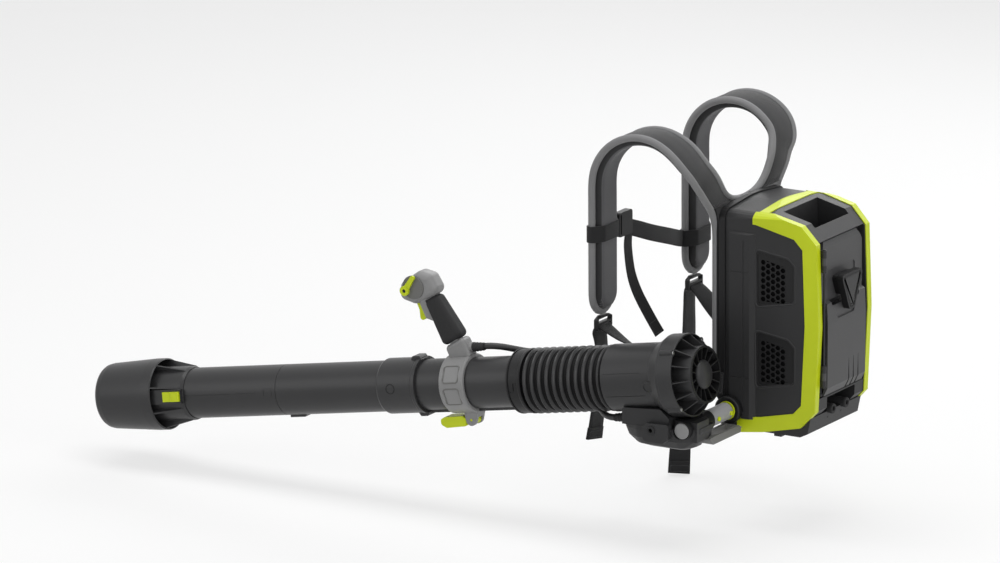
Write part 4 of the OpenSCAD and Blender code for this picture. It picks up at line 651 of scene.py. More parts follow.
# The seam cloth is near black: real cloth at the straps' roots, and in the grooves beside the beads also a
# painted shade.
seam_cloth_and_groove_shade = cloth("harness_seam_cloth_and_groove_shade", colour(34, 34, 35), [(1, 1, 1.0)], depth=0.15)
webbing = cloth("harness_webbing", colour(42, 42, 43), [(0.55, 0.83, 2.2), (1, 0, 1.4)], depth=0.35,
                dark=0.55)
thread = cloth("sewing_thread", colour(84, 84, 86), [(1, 1, 0.6)], depth=0.05, dark=0.8)
HARNESS_CLOTHS = [piping, outer_cloth, spacer_mesh, seam_cloth_and_groove_shade]
OUTER, CUSHION, SEAM_AND_GROOVE_SHADE = 1, 2, 3
print("cloths ready, with", len(bpy.data.materials), "finishes so far")

# %% [markdown]
# ## Shoulder straps
# A strap is moulded foam between two cloths. The outer cloth lies a little below the bead that runs round the
# edge, and the cushion stands out towards the wearer with a steep dark side. A plain sweep would lose the
# cushion at the round end, so the height of every point follows from its distance to the strap's edge.

# %% A strap's two faces
STRAP_HALF = 40.0
BEAD = 6.2
OUTER_EDGE, OUTER_CROWN = 3.0, 2.2
CUSHION_STAND, GROOVE = 16.5, 2.2
WALL_AT, WALL_WIDE, WALL_TAPE = 12.8, 9, 2.5
EDGE_STEPS = [5, 7, 9.5, 11.6, 12.8, 12.9, 13.1, 13.5, 14.2, 15.2, 16.6, 18.6, 21.4, 25, 29, 34, 40]
shares = [1 - step / STRAP_HALF for step in EDGE_STEPS]
shares += [-s for s in shares[-2::-1]]


def outer_height(d):
    """Height of the outer face, in mm, at a distance d from the edge."""
    return OUTER_EDGE + OUTER_CROWN * math.sin(held((d - 11) / 24) * math.pi / 2)


def inner_height(d, swell):
    """How far the inner face stands out to the wearer, in mm; swell is 0 where the cushion fades out."""
    rise = held((d - WALL_AT) / WALL_WIDE)
    return GROOVE + swell * (CUSHION_STAND - GROOVE) * math.sqrt(1 - (1 - rise) ** 3.4)


def strap_cloth(face, d, swell, root):
    """Which of the harness cloths covers a place."""
    if face > 0:
        # The near-black seam cloth in the groove beside the bead stands partly for the shade there: painted
        # shade.
        return SEAM_AND_GROOVE_SHADE if root else OUTER
    if d < WALL_AT or swell < 0.05:
        return SEAM_AND_GROOVE_SHADE
    return OUTER if d < WALL_AT + WALL_TAPE else CUSHION


def strap_ring(centre, across, outward, half, past=None, swell=1.0, root=False):
    """Section of a strap; past is how far into the round end it lies, where the edge curves in."""
    ring, kinds = [], []
    for face, places in ((1, shares), (-1, shares[::-1])):
        for share in places:
            if past is None:
                # the steps are kept in mm near the edge, whatever the width
                step = (1 - abs(share)) * STRAP_HALF * min(1, half / STRAP_HALF)
                side = math.copysign(half - min(half, step), share)
                d = half - abs(side)
            else:
                side = share * half
                d = STRAP_HALF - math.hypot(side, past)
            height = outer_height(d) if face > 0 else -inner_height(d, swell)
            ring.append(centre + across * side + outward * height)
            kinds.append(strap_cloth(face, d, swell, root))
    return ring, kinds


print("a strap's section has", 2 * len(shares), "points")

# %% [markdown]
# A strap springs from the top corner of the pad, arches over the shoulder and hangs straight in front. At its
# root it is cut like a gusset, wide at the pad and narrow above it, so one middle line with one width can't
# describe it. Instead the line of its inner edge and the line of its outer edge are both given, by a few
# points at the root, by an arc over the shoulder and by a straight leg.

# %% Where the strap's two edges run
STRAP_X, STRAP_Y, STRAP_Z = -15.5, 157.0, 421.0
ARCH_RADIUS = 93.0
LEG_LENGTH = 231.0
LEG_X = STRAP_X - 2 * ARCH_RADIUS
LEG_END = STRAP_Z - LEG_LENGTH + STRAP_HALF
ROOT_Y = 111.0
ROOT_EDGES = [(0.5, 352, 104, 352), (0.5, 370, 110, 367), (0.5, 388, 118, 379), (20, 390.5, 124.5, 386),
              (40, 394.5, 130.5, 392), (56, 402, 137, 398.5), (69, 413, 144, 406), (80, 428, 151.5, 415),
              (94, 447, 161.5, 427.5)]


def arch_middle(a):
    lean = (STRAP_Y - ROOT_Y) * (1 - math.sin(min(a, math.pi / 2))) ** 1.8
    return np.array([STRAP_X - ARCH_RADIUS + ARCH_RADIUS * math.cos(a), STRAP_Y - lean,
                     STRAP_Z + ARCH_RADIUS * math.sin(a)])


def arch_row(degrees):
    """Inner edge, outer edge and outward direction where the arch has turned by an angle."""
    a = math.radians(degrees)
    outward = np.array([math.cos(a), 0, math.sin(a)])
    across = unit(np.cross(arch_middle(a + 0.01) - arch_middle(a - 0.01), outward))
    # the strap is narrow just above its root, and there its outer edge runs further out
    half = STRAP_HALF - 12 * math.exp(-((math.degrees(a) - 12) / 22) ** 2)
    wider = 10 * math.exp(-((math.degrees(a) - 24) / 30) ** 2)
    return np.concatenate([arch_middle(a) - across * half, arch_middle(a) + across * (half + wider), outward])


def root_row(near_y, near_z, far_y, far_z):
    """The same, where the strap leaves the pad and leans back a little on its way up."""
    back = STRAP_X - 0.02 * max(0, near_z - 427) ** 1.6
    return [back, near_y, near_z, back, far_y, far_z, 1, 0, 0.003 * max(0, near_z - 400)]


def leg_row(share):
    """The same, at a share of the leg's length."""
    z = STRAP_Z - share * LEG_LENGTH
    return [LEG_X, STRAP_Y - STRAP_HALF, z, LEG_X, STRAP_Y + STRAP_HALF, z, -1, 0, 0]


strap_rows = [root_row(*row) for row in ROOT_EDGES]
strap_rows += [arch_row(degrees) for degrees in range(24, 181, 12)]
strap_rows += [leg_row(share) for share in (0.1, 0.2, 0.4, 0.6, 0.75, 1 - STRAP_HALF / LEG_LENGTH)]
strap_route = smooth_line(strap_rows, 4)
print("strap sections", len(strap_route))

# %% [markdown]
# The two straps are mirror images, so one function makes both. Near the root the cushion fades in gently and
# the cloth of the outer face is the dark gusset cloth. The round end is made of sections as well, which draw
# closer together as the edge curves in.

# %% Two straps
ROOT_SECTIONS = 19
FADE_FROM, FADE_OVER = 14, 22
END_TURNS = (8, 16, 24, 32, 40, 48, 54, 59, 63)


def make_strap(name, side, node_name):
    sections = []
    for i, row in enumerate(strap_route):
        near, far, out = row[:3], row[3:6], row[6:]
        across = unit(far - near)
        out = unit(out - across * np.dot(out, across))
        sections.append(strap_ring((near + far) / 2, across, out, np.linalg.norm(far - near) / 2,
                                   swell=eased(held((i - FADE_FROM) / FADE_OVER)), root=i < ROOT_SECTIONS))
    for a in END_TURNS:
        past = STRAP_HALF * math.sin(math.radians(a))
        sections.append(strap_ring(np.array([LEG_X, STRAP_Y, LEG_END - past]), np.array([0, 1.0, 0]),
                                   np.array([-1.0, 0, 0]), STRAP_HALF * math.cos(math.radians(a)), past=past))
    rings = np.array([ring for ring, _ in sections])
    rings[:, :, 1] *= side
    piece = skin(name, (PACK_ORIGIN + rings) / 1000, HARNESS_CLOTHS, finish_of=lambda i, j: sections[i][1][j])
    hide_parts(node_name)
    settle(piece, "pack")
    print(name, len(piece.data.vertices), "points")


SIDES = ((-1, "left"), (1, "right"))
for side, word in SIDES:
    make_strap("shoulder_strap_" + word, side, "strap_" + word)

# %% [markdown]
# ## Back pad
# Behind the wearer's back lies a pad as tall as the pack. Its bed is one moulded foam sheet with a sewn
# groove along each side, wider at the top where the straps spring from it. The bed is modelled as sections
# from bottom to top, because its thickness follows from the distance to the nearest edge, as on the straps.

# %% Bed of the back pad
PAD_LOW, PAD_HIGH = 44.0, 387.6
PAD_HALF = 103.0
PLATE = 6.5
BED = 9.0
SEWN_FROM, SEWN_TO, SEWN_DEEP = 11.5, 15, 1.4
PAD_STEPS = [1.5, 2, 3.5, 6, 9.5, 12, 13, 14, 16, 20, 30, 45, 60, 80, 95]


def pad_half(v):
    """Half the bed's width at a height v above its lower edge."""
    corner = 18 * max(0, 1 - v / 26) ** 2
    shoulder = 5.5 * max(0, (v - 280) / 64) ** 2 + 6 * max(0, (v - 310) / 33) ** 2
    return PAD_HALF - corner + shoulder


def pad_thickness(d, v):
    end = held(min(v, PAD_HIGH - PAD_LOW - v) / 9)
    edge = held((d - 1.5) / 5)
    sewn = SEWN_DEEP if SEWN_FROM < d < SEWN_TO else 0
    return ((BED - sewn) * (0.5 + 0.5 * math.sqrt(1 - (1 - end) ** 2))
            * (0.55 + 0.45 * math.sqrt(1 - (1 - edge) ** 2)))


heights = np.concatenate([[0, 0.6, 1.8, 4, 7, 11, 16, 22, 30], np.linspace(40, 330, 30),
                          [335, 338.5, 341, 342.7, PAD_HIGH - PAD_LOW]])
pad_rings = []
for v in heights:
    half = pad_half(v)
    ring = [[-PLATE, -half + 2, PAD_LOW + v], [-PLATE, half - 2, PAD_LOW + v]]
    for sign, steps in ((1, PAD_STEPS), (-1, PAD_STEPS[::-1])):
        ring += [[-PLATE - pad_thickness(d, v), sign * half * (1 - d / PAD_HALF), PAD_LOW + v] for d in steps]
    pad_rings.append(ring)
# The bed's edge and sewn groove take the near-black seam cloth, which in the groove is partly a painted
# shade.
seam_points = {2 + k for k in range(8)} | {1 + 2 * len(PAD_STEPS) - k for k in range(9)}
bed = skin("back_pad_bed", (PACK_ORIGIN + np.array(pad_rings)) / 1000, HARNESS_CLOTHS,
           finish_of=lambda i, j: SEAM_AND_GROOVE_SHADE if j in seam_points else OUTER)
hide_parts("back_pad")
settle(bed, "pack")
print("pad bed", len(bed.data.vertices), "points")

# %% [markdown]
# ## One bead round the whole harness
# A thick pale bead closes the edge of the pad and both straps. It is a single round cord sewn into tape, so
# it is one tube along one closed line: up the pad's side, over the arch, round the strap's end, back along
# the inner edge, through the notch between the straps and down the other side. A bead for each edge would be
# simpler, but their ends would show where the real one runs on.

# %% The line of the bead
PAD_BOTTOM = [(0, 44), (20, 44), (40, 44), (60, 44), (72, 44.3), (81, 46.5), (88, 51), (94, 57.5), (99, 65),
              (102, 73)]
NOTCH_ROW = 8
BEAD_PITCH = 4.5
pad_side = [(pad_half(v), PAD_LOW + v) for v in np.linspace(38, 302, 36)]
edge = [[STRAP_X, y, z] for y, z in PAD_BOTTOM + pad_side]
facing = [[1, 0, 0]] * len(edge)
edge += [row[3:6] for row in strap_route]
facing += [row[6:] for row in strap_route]
for a in list(range(84, -1, -6)) + list(range(-6, -85, -6)):
    swing = math.radians(a)
    edge.append([LEG_X, STRAP_Y + STRAP_HALF * math.sin(swing), LEG_END - STRAP_HALF * math.cos(swing)])
    facing.append([-1, 0, 0])
edge += [row[:3] for row in strap_route[:NOTCH_ROW - 1:-1]]
facing += [row[6:] for row in strap_route[:NOTCH_ROW - 1:-1]]
edge, facing = np.array(edge), np.array(facing)
inside = np.cross(facing, directions(edge))
half_line = edge + inside / np.linalg.norm(inside, axis=1)[:, None] * BEAD


def even_line(line, pitch, *others):
    """Spreads points evenly along a line and carries other columns with them."""
    run = distances_along(line)
    at = np.linspace(0, run[-1], int(run[-1] / pitch))
    return [np.stack([np.interp(at, run, rows[:, k]) for k in range(3)], 1) for rows in (line, *others)]


mirror = np.array([1, -1, 1])
bead_line, bead_facing = even_line(np.vstack([half_line, (half_line * mirror)[::-1]]), BEAD_PITCH,
                                   np.vstack([facing, (facing * mirror)[::-1]]))
for _ in range(6):
    bead_line, bead_facing = ((np.roll(rows, 1, 0) + 2 * rows + np.roll(rows, -1, 0)) / 4
                              for rows in (bead_line, bead_facing))
print("bead", round(len(bead_line) * BEAD_PITCH / 1000, 2), "m round")

# %% The bead
BEAD_SIDES = 18
rings = []
for i in range(len(bead_line)):
    ahead = unit(bead_line[(i + 1) % len(bead_line)] - bead_line[i - 1])
    up = unit(bead_facing[i] - ahead * np.dot(bead_facing[i], ahead))
    rings.append(bead_line[i] + BEAD * circle_in(up, np.cross(ahead, up), BEAD_SIDES))
bead = skin("harness_bead", (PACK_ORIGIN + np.array(rings)) / 1000, [piping], loop=True)
settle(bead, "pack")
print("bead", len(bead.data.vertices), "points")

# %% [markdown]
# ## Cushions
# Six cushions are sewn onto the bed in two columns, so that air can rise between them. A cushion is a closed
# bag that swells until its cloth is tight, which is what Blender's cloth with inner pressure does. Each
# starts as a slab with soft corners, and a voxel remesh gives the cloth even faces to work with.

# %% Six slabs to blow up
CUSHION_ROWS = [(12, 88), (97, 200), (209, 330)]
CUSHION_NEAR, CUSHION_FAR = 7.0, 84.0
CUSHION_BACK = PLATE + BED - 1.0
CUSHION_DEPTH = 10.0
CUSHION_CORNER = 16.0
CUSHION_POINTS = 40
CUSHION_VOXEL = 0.004
LEVELS = ((0, 0.93), (1.5, 0.985), (CUSHION_DEPTH / 2, 1), (CUSHION_DEPTH - 2, 0.985), (CUSHION_DEPTH, 0.93))


def cushion_block(low, high, side):
    """A rounded slab: outline in Y and Z, with soft corners."""
    y_mid, z_mid = side * (CUSHION_NEAR + CUSHION_FAR) / 2, PAD_LOW + (low + high) / 2
    w, h = (CUSHION_FAR - CUSHION_NEAR) / 2, (high - low) / 2
    outline = []
    for k in range(CUSHION_POINTS):
        a = 2 * math.pi * (k + 0.5) / CUSHION_POINTS
        y = math.copysign(min(w - CUSHION_CORNER, abs(w * 1.6 * math.cos(a))), math.cos(a))
        z = math.copysign(min(h - CUSHION_CORNER, abs(h * 1.6 * math.sin(a))), math.sin(a))
        outline.append((y + CUSHION_CORNER * math.cos(a), z + CUSHION_CORNER * math.sin(a)))
    rings = [[(-CUSHION_BACK - depth, y_mid + y * shrink, z_mid + z * shrink) for y, z in outline]
             for depth, shrink in LEVELS]
    return (PACK_ORIGIN + np.array(rings)) / 1000


def apply_modifiers(piece):
    graph = bpy.context.evaluated_depsgraph_get()
    finished = bpy.data.meshes.new_from_object(piece.evaluated_get(graph))
    piece.modifiers.clear()
    piece.data = finished


blocks = [skin("cushion_block", cushion_block(low_v, high_v, side), []) for low_v, high_v in CUSHION_ROWS
          for side in (-1, 1)]
bags = bmesh.new()
for block in blocks:
    bags.from_mesh(block.data)
    bpy.data.objects.remove(block)
bmesh.ops.triangulate(bags, faces=bags.faces)
bag_mesh = bpy.data.meshes.new("back_cushions")
bags.to_mesh(bag_mesh)
bags.free()
cushions = new_piece("back_cushions", bag_mesh, [spacer_mesh])
remesh = cushions.modifiers.new("remesh", "REMESH")
remesh.mode = "VOXEL"
remesh.voxel_size = CUSHION_VOXEL
apply_modifiers(cushions)
print("slabs", len(blocks), "with", len(cushions.data.vertices), "points")

# %% [markdown]
# Pressure blows the slabs up over twenty moments. A cloth can swell further than its seams would let it, so
# every point's way is held to a few millimetres, and the back stays flat on the bed. A subdivision then takes
# the last corners out of the mesh.

# %% Blow the cushions up
SWELL = 0.005
CROWN = 25.2
before = np.array([v.co[:] for v in cushions.data.vertices])
swell = cushions.modifiers.new("swell", "CLOTH")
swell.settings.quality = 5
swell.settings.mass = 0.15
swell.settings.tension_stiffness = 25
swell.settings.use_pressure = True
swell.settings.uniform_pressure_force = 4.0
swell.settings.effector_weights.gravity = 0.0
for moment in range(1, 21):
    bpy.context.scene.frame_set(moment)
apply_modifiers(cushions)
bpy.context.scene.frame_set(1)
moved = np.array([v.co[:] for v in cushions.data.vertices]) - before
way = np.linalg.norm(moved, axis=1)
after = before + moved * np.minimum(1.0, SWELL / np.maximum(way, 1e-9))[:, None]
after[:, 0] = np.clip(after[:, 0], on_pack(-PLATE - CROWN, 0, 0)[0], on_pack(-PLATE - BED + 0.5, 0, 0)[0])
cushions.data.vertices.foreach_set("co", after.ravel())
corner_points = np.array([corner.vertex_index for corner in cushions.data.loops])
cushions.data.uv_layers.new(name="flat").data.foreach_set("uv", after[corner_points][:, 1:].ravel())
soften = cushions.modifiers.new("soften", "SUBSURF")
soften.levels = soften.render_levels = 1
apply_modifiers(cushions)
settle(cushions, "pack", 60)
print("cushions", len(cushions.data.vertices), "points, moved up to",
      round(min(float(way.max()), SWELL) * 1000, 1), "mm")

# %% [markdown]
# ## Webbing
# The lower webbing is sewn to the back plate's side, climbs to the ladder lock under the strap, turns over
# its bar and hangs down as a loose tail. It could be bent from a plane with a curve modifier; a ribbon of
# sections is used instead, because its width can turn on the way just as the real one twists.

# %% Ribbons
WEB_HALF, WEB_THICK = 19.0, 2.0
RIBBON = [(-1, 0.35), (-0.97, 0.5), (-0.5, 0.5), (0, 0.5), (0.5, 0.5), (0.97, 0.5), (1, 0.35), (1, -0.35),
          (0.97, -0.5), (0.5, -0.5), (0, -0.5), (-0.5, -0.5), (-0.97, -0.5), (-1, -0.35)]


def ribbon_axes(ahead, across):
    """The ribbon's true width direction and its face's direction."""
    width = unit(across - ahead * np.dot(across, ahead))
    return width, np.cross(ahead, width)


def ribbon_rings(line, across, half, thick):
    """Rounded flat sections; line and across in mm, one across for each point."""
    rings = []
    for point, ahead, wide in zip(line, directions(line), across):
        width, face = ribbon_axes(ahead, wide)
        rings.append([point + width * half * s + face * thick * t for s, t in RIBBON])
    return np.array(rings)


def sew_ribbon(name, rings, loop=False):
    piece = skin(name, (PACK_ORIGIN + rings) / 1000, [webbing], loop=loop)
    return settle(piece, "pack", 40)


print("a ribbon's section has", len(RIBBON), "points")

# %% [markdown]
# Both lengths take the same way up to their ladder lock. From there each tail hangs as it happened to fall:
# the left one is short and swings inwards, the right one is long, hangs straight and turns its face as it
# goes down.

# %% Two lengths of webbing
LOCK_Z = STRAP_Z - LEG_LENGTH - 14
LOCK_POINT = 7
WEB_STEPS = 8
LOOSE = {"left": [[LEG_X - 11, -143, 140], [LEG_X - 16, -132, 105], [LEG_X - 19, -129, 60], [-226, -131, 10],
                  [-231, -135, -37]],
         "right": [[LEG_X - 10.5, 156, 130], [LEG_X - 12.5, 158, 80], [-220, 160, 10], [-228, 162, -60],
                   [-233, 162, -120], [-236, 162, -171]]}
WEB_TURN = {"left": 12, "right": 58}


def web_points(side, loose):
    return [[3, side * 105, 84], [-14, side * 106, 85], [-45, side * 110, 90], [-85, side * 120, 104],
            [-125, side * 132, 124], [LEG_X + 38, side * (STRAP_Y - 11), LOCK_Z - 30],
            [LEG_X + 10, side * (STRAP_Y - 3), LOCK_Z - 10.5], [LEG_X, side * (STRAP_Y - 3), LOCK_Z - 5.5],
            [LEG_X - 8, side * (STRAP_Y - 3), LOCK_Z - 12]] + loose


def web_across(side, turned_by, last):
    """The width's direction: upright at the plate, level at the lock, turned again at the tail's end."""
    lock_at = LOCK_POINT * WEB_STEPS
    rows = []
    for i in range(last + 1):
        rise = math.pi / 2 * (1 - eased(min(1.0, i / lock_at)))
        loose = max(0, (i - lock_at - WEB_STEPS) / (last - lock_at - WEB_STEPS))
        turned = math.radians(turned_by) * loose ** 2
        rows.append([math.sin(turned), math.cos(turned) * math.cos(rise), side * math.sin(rise)])
    return np.array(rows)


tails = {}
for side, word in SIDES:
    line = smooth_line(web_points(side, LOOSE[word]), WEB_STEPS)
    across = web_across(side, WEB_TURN[word], len(line) - 1)
    piece = sew_ribbon("lower_webbing_" + word, ribbon_rings(line, across, WEB_HALF, WEB_THICK))
    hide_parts("webbing_" + word)
    tails[word] = (line, across)
    print(piece.name, round(length_of(line)), "mm long")

# %% [markdown]
# ## Sewing
# A cut end of webbing would fray, so it is folded back and sewn, and the sewn box is what holds it to the
# plate. The threads are real little stitches rather than a drawn line, because they catch the light. They are
# all one mesh for each seam, since a thousand objects would slow Blender down.

# %% Stitches
def stack_faces(first, rings, sides):
    """Walls and two caps of a stack of rings whose points start at a number."""
    faces = []
    for s in range(rings - 1):
        for k in range(sides):
            near, m = first + s * sides, (k + 1) % sides
            faces.append((near + k, near + m, near + sides + m, near + sides + k))
    top = first + (rings - 1) * sides
    return faces + [tuple(range(first + sides - 1, first - 1, -1)), tuple(range(top, top + sides))]


STITCH_SIDES = 6
THREAD_THICK = 0.7
THREAD_LIFT = ((0, 0.3, 0.0), (0.25, 1, 0.25), (0.75, 1, 0.25), (1, 0.3, 0.0))


def thread_points(a, b, n):
    """A little raised thread from a to b, which stands on the side n."""
    d = unit(b - a)
    n = unit(n - d * np.dot(n, d))
    side = np.cross(d, n)
    points = []
    for share, wide, lift in THREAD_LIFT:
        centre = a + (b - a) * share + n * lift * THREAD_THICK
        points.extend(centre + circle_in(side, n, STITCH_SIDES) * THREAD_THICK / 2 * wide)
    return points


def stitches(name, rows, normals, pitch=3.4, long=2.4):
    """Short raised threads along rows of points in mm; normals give the side that they stand on."""
    verts, faces = [], []
    for row, normal in zip(rows, normals):
        row, normal = np.asarray(row, float), np.asarray(normal, float)
        run = distances_along(row)
        for at in np.arange(pitch / 2, run[-1], pitch):
            a, b = (np.array([np.interp(s, run, row[:, k]) for k in range(3)])
                    for s in (max(0, at - long / 2), min(run[-1], at + long / 2)))
            if np.linalg.norm(b - a) < 0.3:
                continue
            n = np.array([np.interp(at, run, normal[:, k]) for k in range(3)])
            faces += stack_faces(len(verts), len(THREAD_LIFT), STITCH_SIDES)
            verts += thread_points(a, b, n)
    mesh = bpy.data.meshes.new(name)
    mesh.from_pydata(((PACK_ORIGIN + np.array(verts)) / 1000).tolist(), [], faces)
    mesh.uv_layers.new(name="flat")
    mesh.polygons.foreach_set("use_smooth", [True] * len(faces))
    settle(new_piece(name, mesh, [thread]), "pack")
    print(name, len(verts) // (len(THREAD_LIFT) * STITCH_SIDES), "stitches")


# %% Sewn boxes and hems
HEM_LONG, HEM_THICK = 24, WEB_THICK * 0.9
HEM_FACE, PLATE_FACE = WEB_THICK * 1.425, WEB_THICK / 2
BOX_SHARE = 0.82
PLATE_BOX = (1, 7)


def box_rows(line, across, first, last, half, off):
    """The four sides of a sewn box on one face of a ribbon, with the direction that each stands on."""
    ahead = directions(line)

    def at(i, s):
        width, face = ribbon_axes(ahead[i], across[i])
        return line[i] + width * half * s + face * off

    picks = np.unique(np.linspace(first, last, 6).astype(int))
    rows = [[at(i, s) for i in picks] for s in (-BOX_SHARE, BOX_SHARE)]
    rows += [[at(i, s) for s in (-BOX_SHARE, 0, BOX_SHARE)] for i in (first, last)]
    normal = np.cross(ahead[first], across[first]) * np.sign(off)
    return rows, [[normal] * len(r) for r in rows]


for word, (line, across) in tails.items():
    run, ahead = distances_along(line), directions(line)
    fold = int(np.argmax(run > run[-1] - HEM_LONG))
    faces_out = np.array([ribbon_axes(ahead[i], across[i])[1] for i in range(fold, len(line))])
    for sign, tag in ((1, "a"), (-1, "b")):
        hem = line[fold:] + faces_out * sign * HEM_THICK
        sew_ribbon(f"web_hem_{word}_{tag}", ribbon_rings(hem, across[fold:], WEB_HALF - 0.4, HEM_THICK))
    rows, normals = [], []
    for (first, last), face in (((fold + 1, len(line) - 2), HEM_FACE), (PLATE_BOX, PLATE_FACE)):
        for off in (face, -face):
            more_rows, more_normals = box_rows(line, across, first, last, WEB_HALF, off)
            rows += more_rows
            normals += more_normals
    stitches("web_stitches_" + word, rows, normals)
    print("hem folds back", round(run[-1] - run[fold]), "mm")

# %% [markdown]
# ## Chest strap
# A narrow webbing ties the two straps together. The middle is drawn tight through a buckle, and the spare end
# hangs from it in a lazy curve. Both are ribbons like the lower webbing, with a line of their own.

# %% Chest strap
CHEST_HALF = 14.0
TAIL_HALF = CHEST_HALF * 0.7
CHEST_POINTS = [[LEG_X, -STRAP_Y + 74, 328], [LEG_X + 0.5, -STRAP_Y + 91, 322], [LEG_X + 3, -42, 313.5],
                [LEG_X + 6, 0, 298], [LEG_X + 5, 60, 278.5], [LEG_X + 0.5, STRAP_Y - STRAP_HALF - 14, 264.5],
                [LEG_X, STRAP_Y - STRAP_HALF - 2.8, 262]]
TAIL_POINTS = [[LEG_X + 4.5, -STRAP_Y + 80, 326], [LEG_X + 5, -STRAP_Y + 79.5, 311], [LEG_X + 8, -84, 290],
               [LEG_X + 16, -88, 250], [LEG_X + 22, -78, 215], [LEG_X + 34, -62, 175], [LEG_X + 50, -50, 138]]
chest = smooth_line(CHEST_POINTS, 8)
chest_across = np.array([[0, 0, 1.0]] * len(chest))
band = sew_ribbon("chest_band", ribbon_rings(chest, chest_across, CHEST_HALF, WEB_THICK))
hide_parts("chest_strap")
tail = smooth_line(TAIL_POINTS, 8)
share = np.arange(len(tail)) / (len(tail) - 1)
tail_across = np.stack([0.5 * share, 1 - 0.14 * share, 0 * share], 1)
sew_ribbon("chest_tail", ribbon_rings(tail, tail_across, TAIL_HALF, WEB_THICK))
print("chest strap", round(length_of(chest)), "mm, its tail", round(length_of(tail)), "mm long")

# %% [markdown]
# Each end of the chest strap is a loop that can slide on its strap. It lies tight round a leg and its bead,
# so its line is the outline that a string pulled round them would take: the convex hull of the leg's section,
# moved out by the cloth's clearance.

# %% Loops round the straps
LOOP_CLEARANCE = 0.6
LOOP_HEIGHTS = {"left": 337, "right": 261}
LOOP_SECTION = ((-1, 0), (-0.97, -0.2), (0.97, -0.2), (1, 0), (1, WEB_THICK * 0.8), (0.97, WEB_THICK),
                (-0.97, WEB_THICK), (-1, WEB_THICK * 0.8))


def half_hull(points):
    hull = []
    for p in points:
        while len(hull) > 1 and ((hull[-1][0] - hull[-2][0]) * (p[1] - hull[-2][1])
                                 - (hull[-1][1] - hull[-2][1]) * (p[0] - hull[-2][0])) <= 0:
            hull.pop()
        hull.append(p)
    return hull[:-1]


def leg_outline(clear):
    """The outline of a strap's leg with some clearance, as [outwards, across], counter-clockwise."""
    ring, _ = strap_ring(np.zeros(3), np.array([0, 1.0, 0]), np.array([1.0, 0, 0]), STRAP_HALF)
    for side in (-1, 1):
        ring += list(BEAD * circle_in((1, 0), (0, 1), BEAD_SIDES) + [0, side * (STRAP_HALF - BEAD)])
    points = sorted({(round(float(p[0]), 3), round(float(p[1]), 3)) for p in ring})
    hull = np.array(half_hull(points) + half_hull(points[::-1]))
    ahead, behind = np.roll(hull, -1, 0) - hull, hull - np.roll(hull, 1, 0)
    normals = np.array([unit(unit([a[1], -a[0]]) + unit([b[1], -b[0]])) for a, b in zip(ahead, behind)])
    return hull + normals * clear, normals


for side, word in SIDES:
    outline, normals = leg_outline(LOOP_CLEARANCE)
    rings = [[[LEG_X - q[0], side * STRAP_Y + q[1], LOOP_HEIGHTS[word] + lift * CHEST_HALF]
              for q in outline + normals * (out + 0.2)] for lift, out in LOOP_SECTION]
    sew_ribbon("chest_loop_" + word, np.swapaxes(np.array(rings), 0, 1), loop=True)
print("a loop is", round(length_of(np.vstack([outline, outline[:1]]))), "mm round")
end_rows, end_normals = box_rows(chest, chest_across, len(chest) - 9, len(chest) - 2, CHEST_HALF,
                                 -WEB_THICK / 2)
tail_rows, tail_normals = box_rows(tail, tail_across, len(tail) - 6, len(tail) - 2, TAIL_HALF, WEB_THICK / 2)
stitches("chest_stitches", end_rows + tail_rows, end_normals + tail_normals, pitch=3)

# %% [markdown]
# ## Ribbed hose
# The hose lets the user swing the tube. It is blow-moulded rubber: round ribs with narrow valleys, each
# valley lying in its own shadow. A wave added to a tube's radius gives the ribs.

# %% Ribbed hose
HOSE_RADIUS, FOLD, HOSE_WALL = 56.0, 7.0, 2.0
VALLEY = HOSE_RADIUS - FOLD
# Below this radius the valleys take the darker rubber, a painted shade.
VALLEY_SHADE_TOP = HOSE_RADIUS - FOLD * 0.52
HOSE_START, HOSE_END, FOLDS = 146.0, 307.0, 11
HOSE_CUFF = 11.5
FOLD_STEPS = 12
HOSE_SIDES = 72

ribs = [(HOSE_START + 0.2, VALLEY)]
for k in range(FOLDS * FOLD_STEPS + 1):
    f = k / FOLD_STEPS
    swell = (0.5 - 0.5 * math.cos(2 * math.pi * f)) ** 1.25
    ribs.append((HOSE_START + 0.6 + (HOSE_END - HOSE_START - 1.2) * f / FOLDS, VALLEY + FOLD * swell))
ribs += [(HOSE_END + HOSE_CUFF, VALLEY), (HOSE_END + HOSE_CUFF, VALLEY - HOSE_WALL),
         (HOSE_END - 2, VALLEY - HOSE_WALL), (HOSE_START + 0.2, VALLEY - HOSE_WALL)]
turns = np.arange(HOSE_SIDES) * 2 * math.pi / HOSE_SIDES
rings = [[on_tube(a, r * math.cos(t), r * math.sin(t)) for t in turns] for a, r in ribs]
# The faces deep in the valleys take the darker valley rubber, a painted shade.
hose = skin("ribbed_hose", rings, [hose_black, hose_valley_painted_shade], loop=True,
            finish_of=lambda i, j: int(max(ribs[i][1], ribs[(i + 1) % len(ribs)][1]) < VALLEY_SHADE_TOP))
sharpen(hose, 50)
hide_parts("hose")
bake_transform(hose)
print("hose", len(hose.data.vertices), "points")

# %% [markdown]
# ## Raised rims
# The clamp's ring carries sunk panels with a rolled rim, which stiffen a thin wall without more plastic, and
# the lock collar's release has a rim that a thumb finds. A rim is a small section carried round a rounded
# outline and laid on a round wall, so two helpers make them all. Cutting them into the solid would cost many
# faces for a detail of one millimetre.

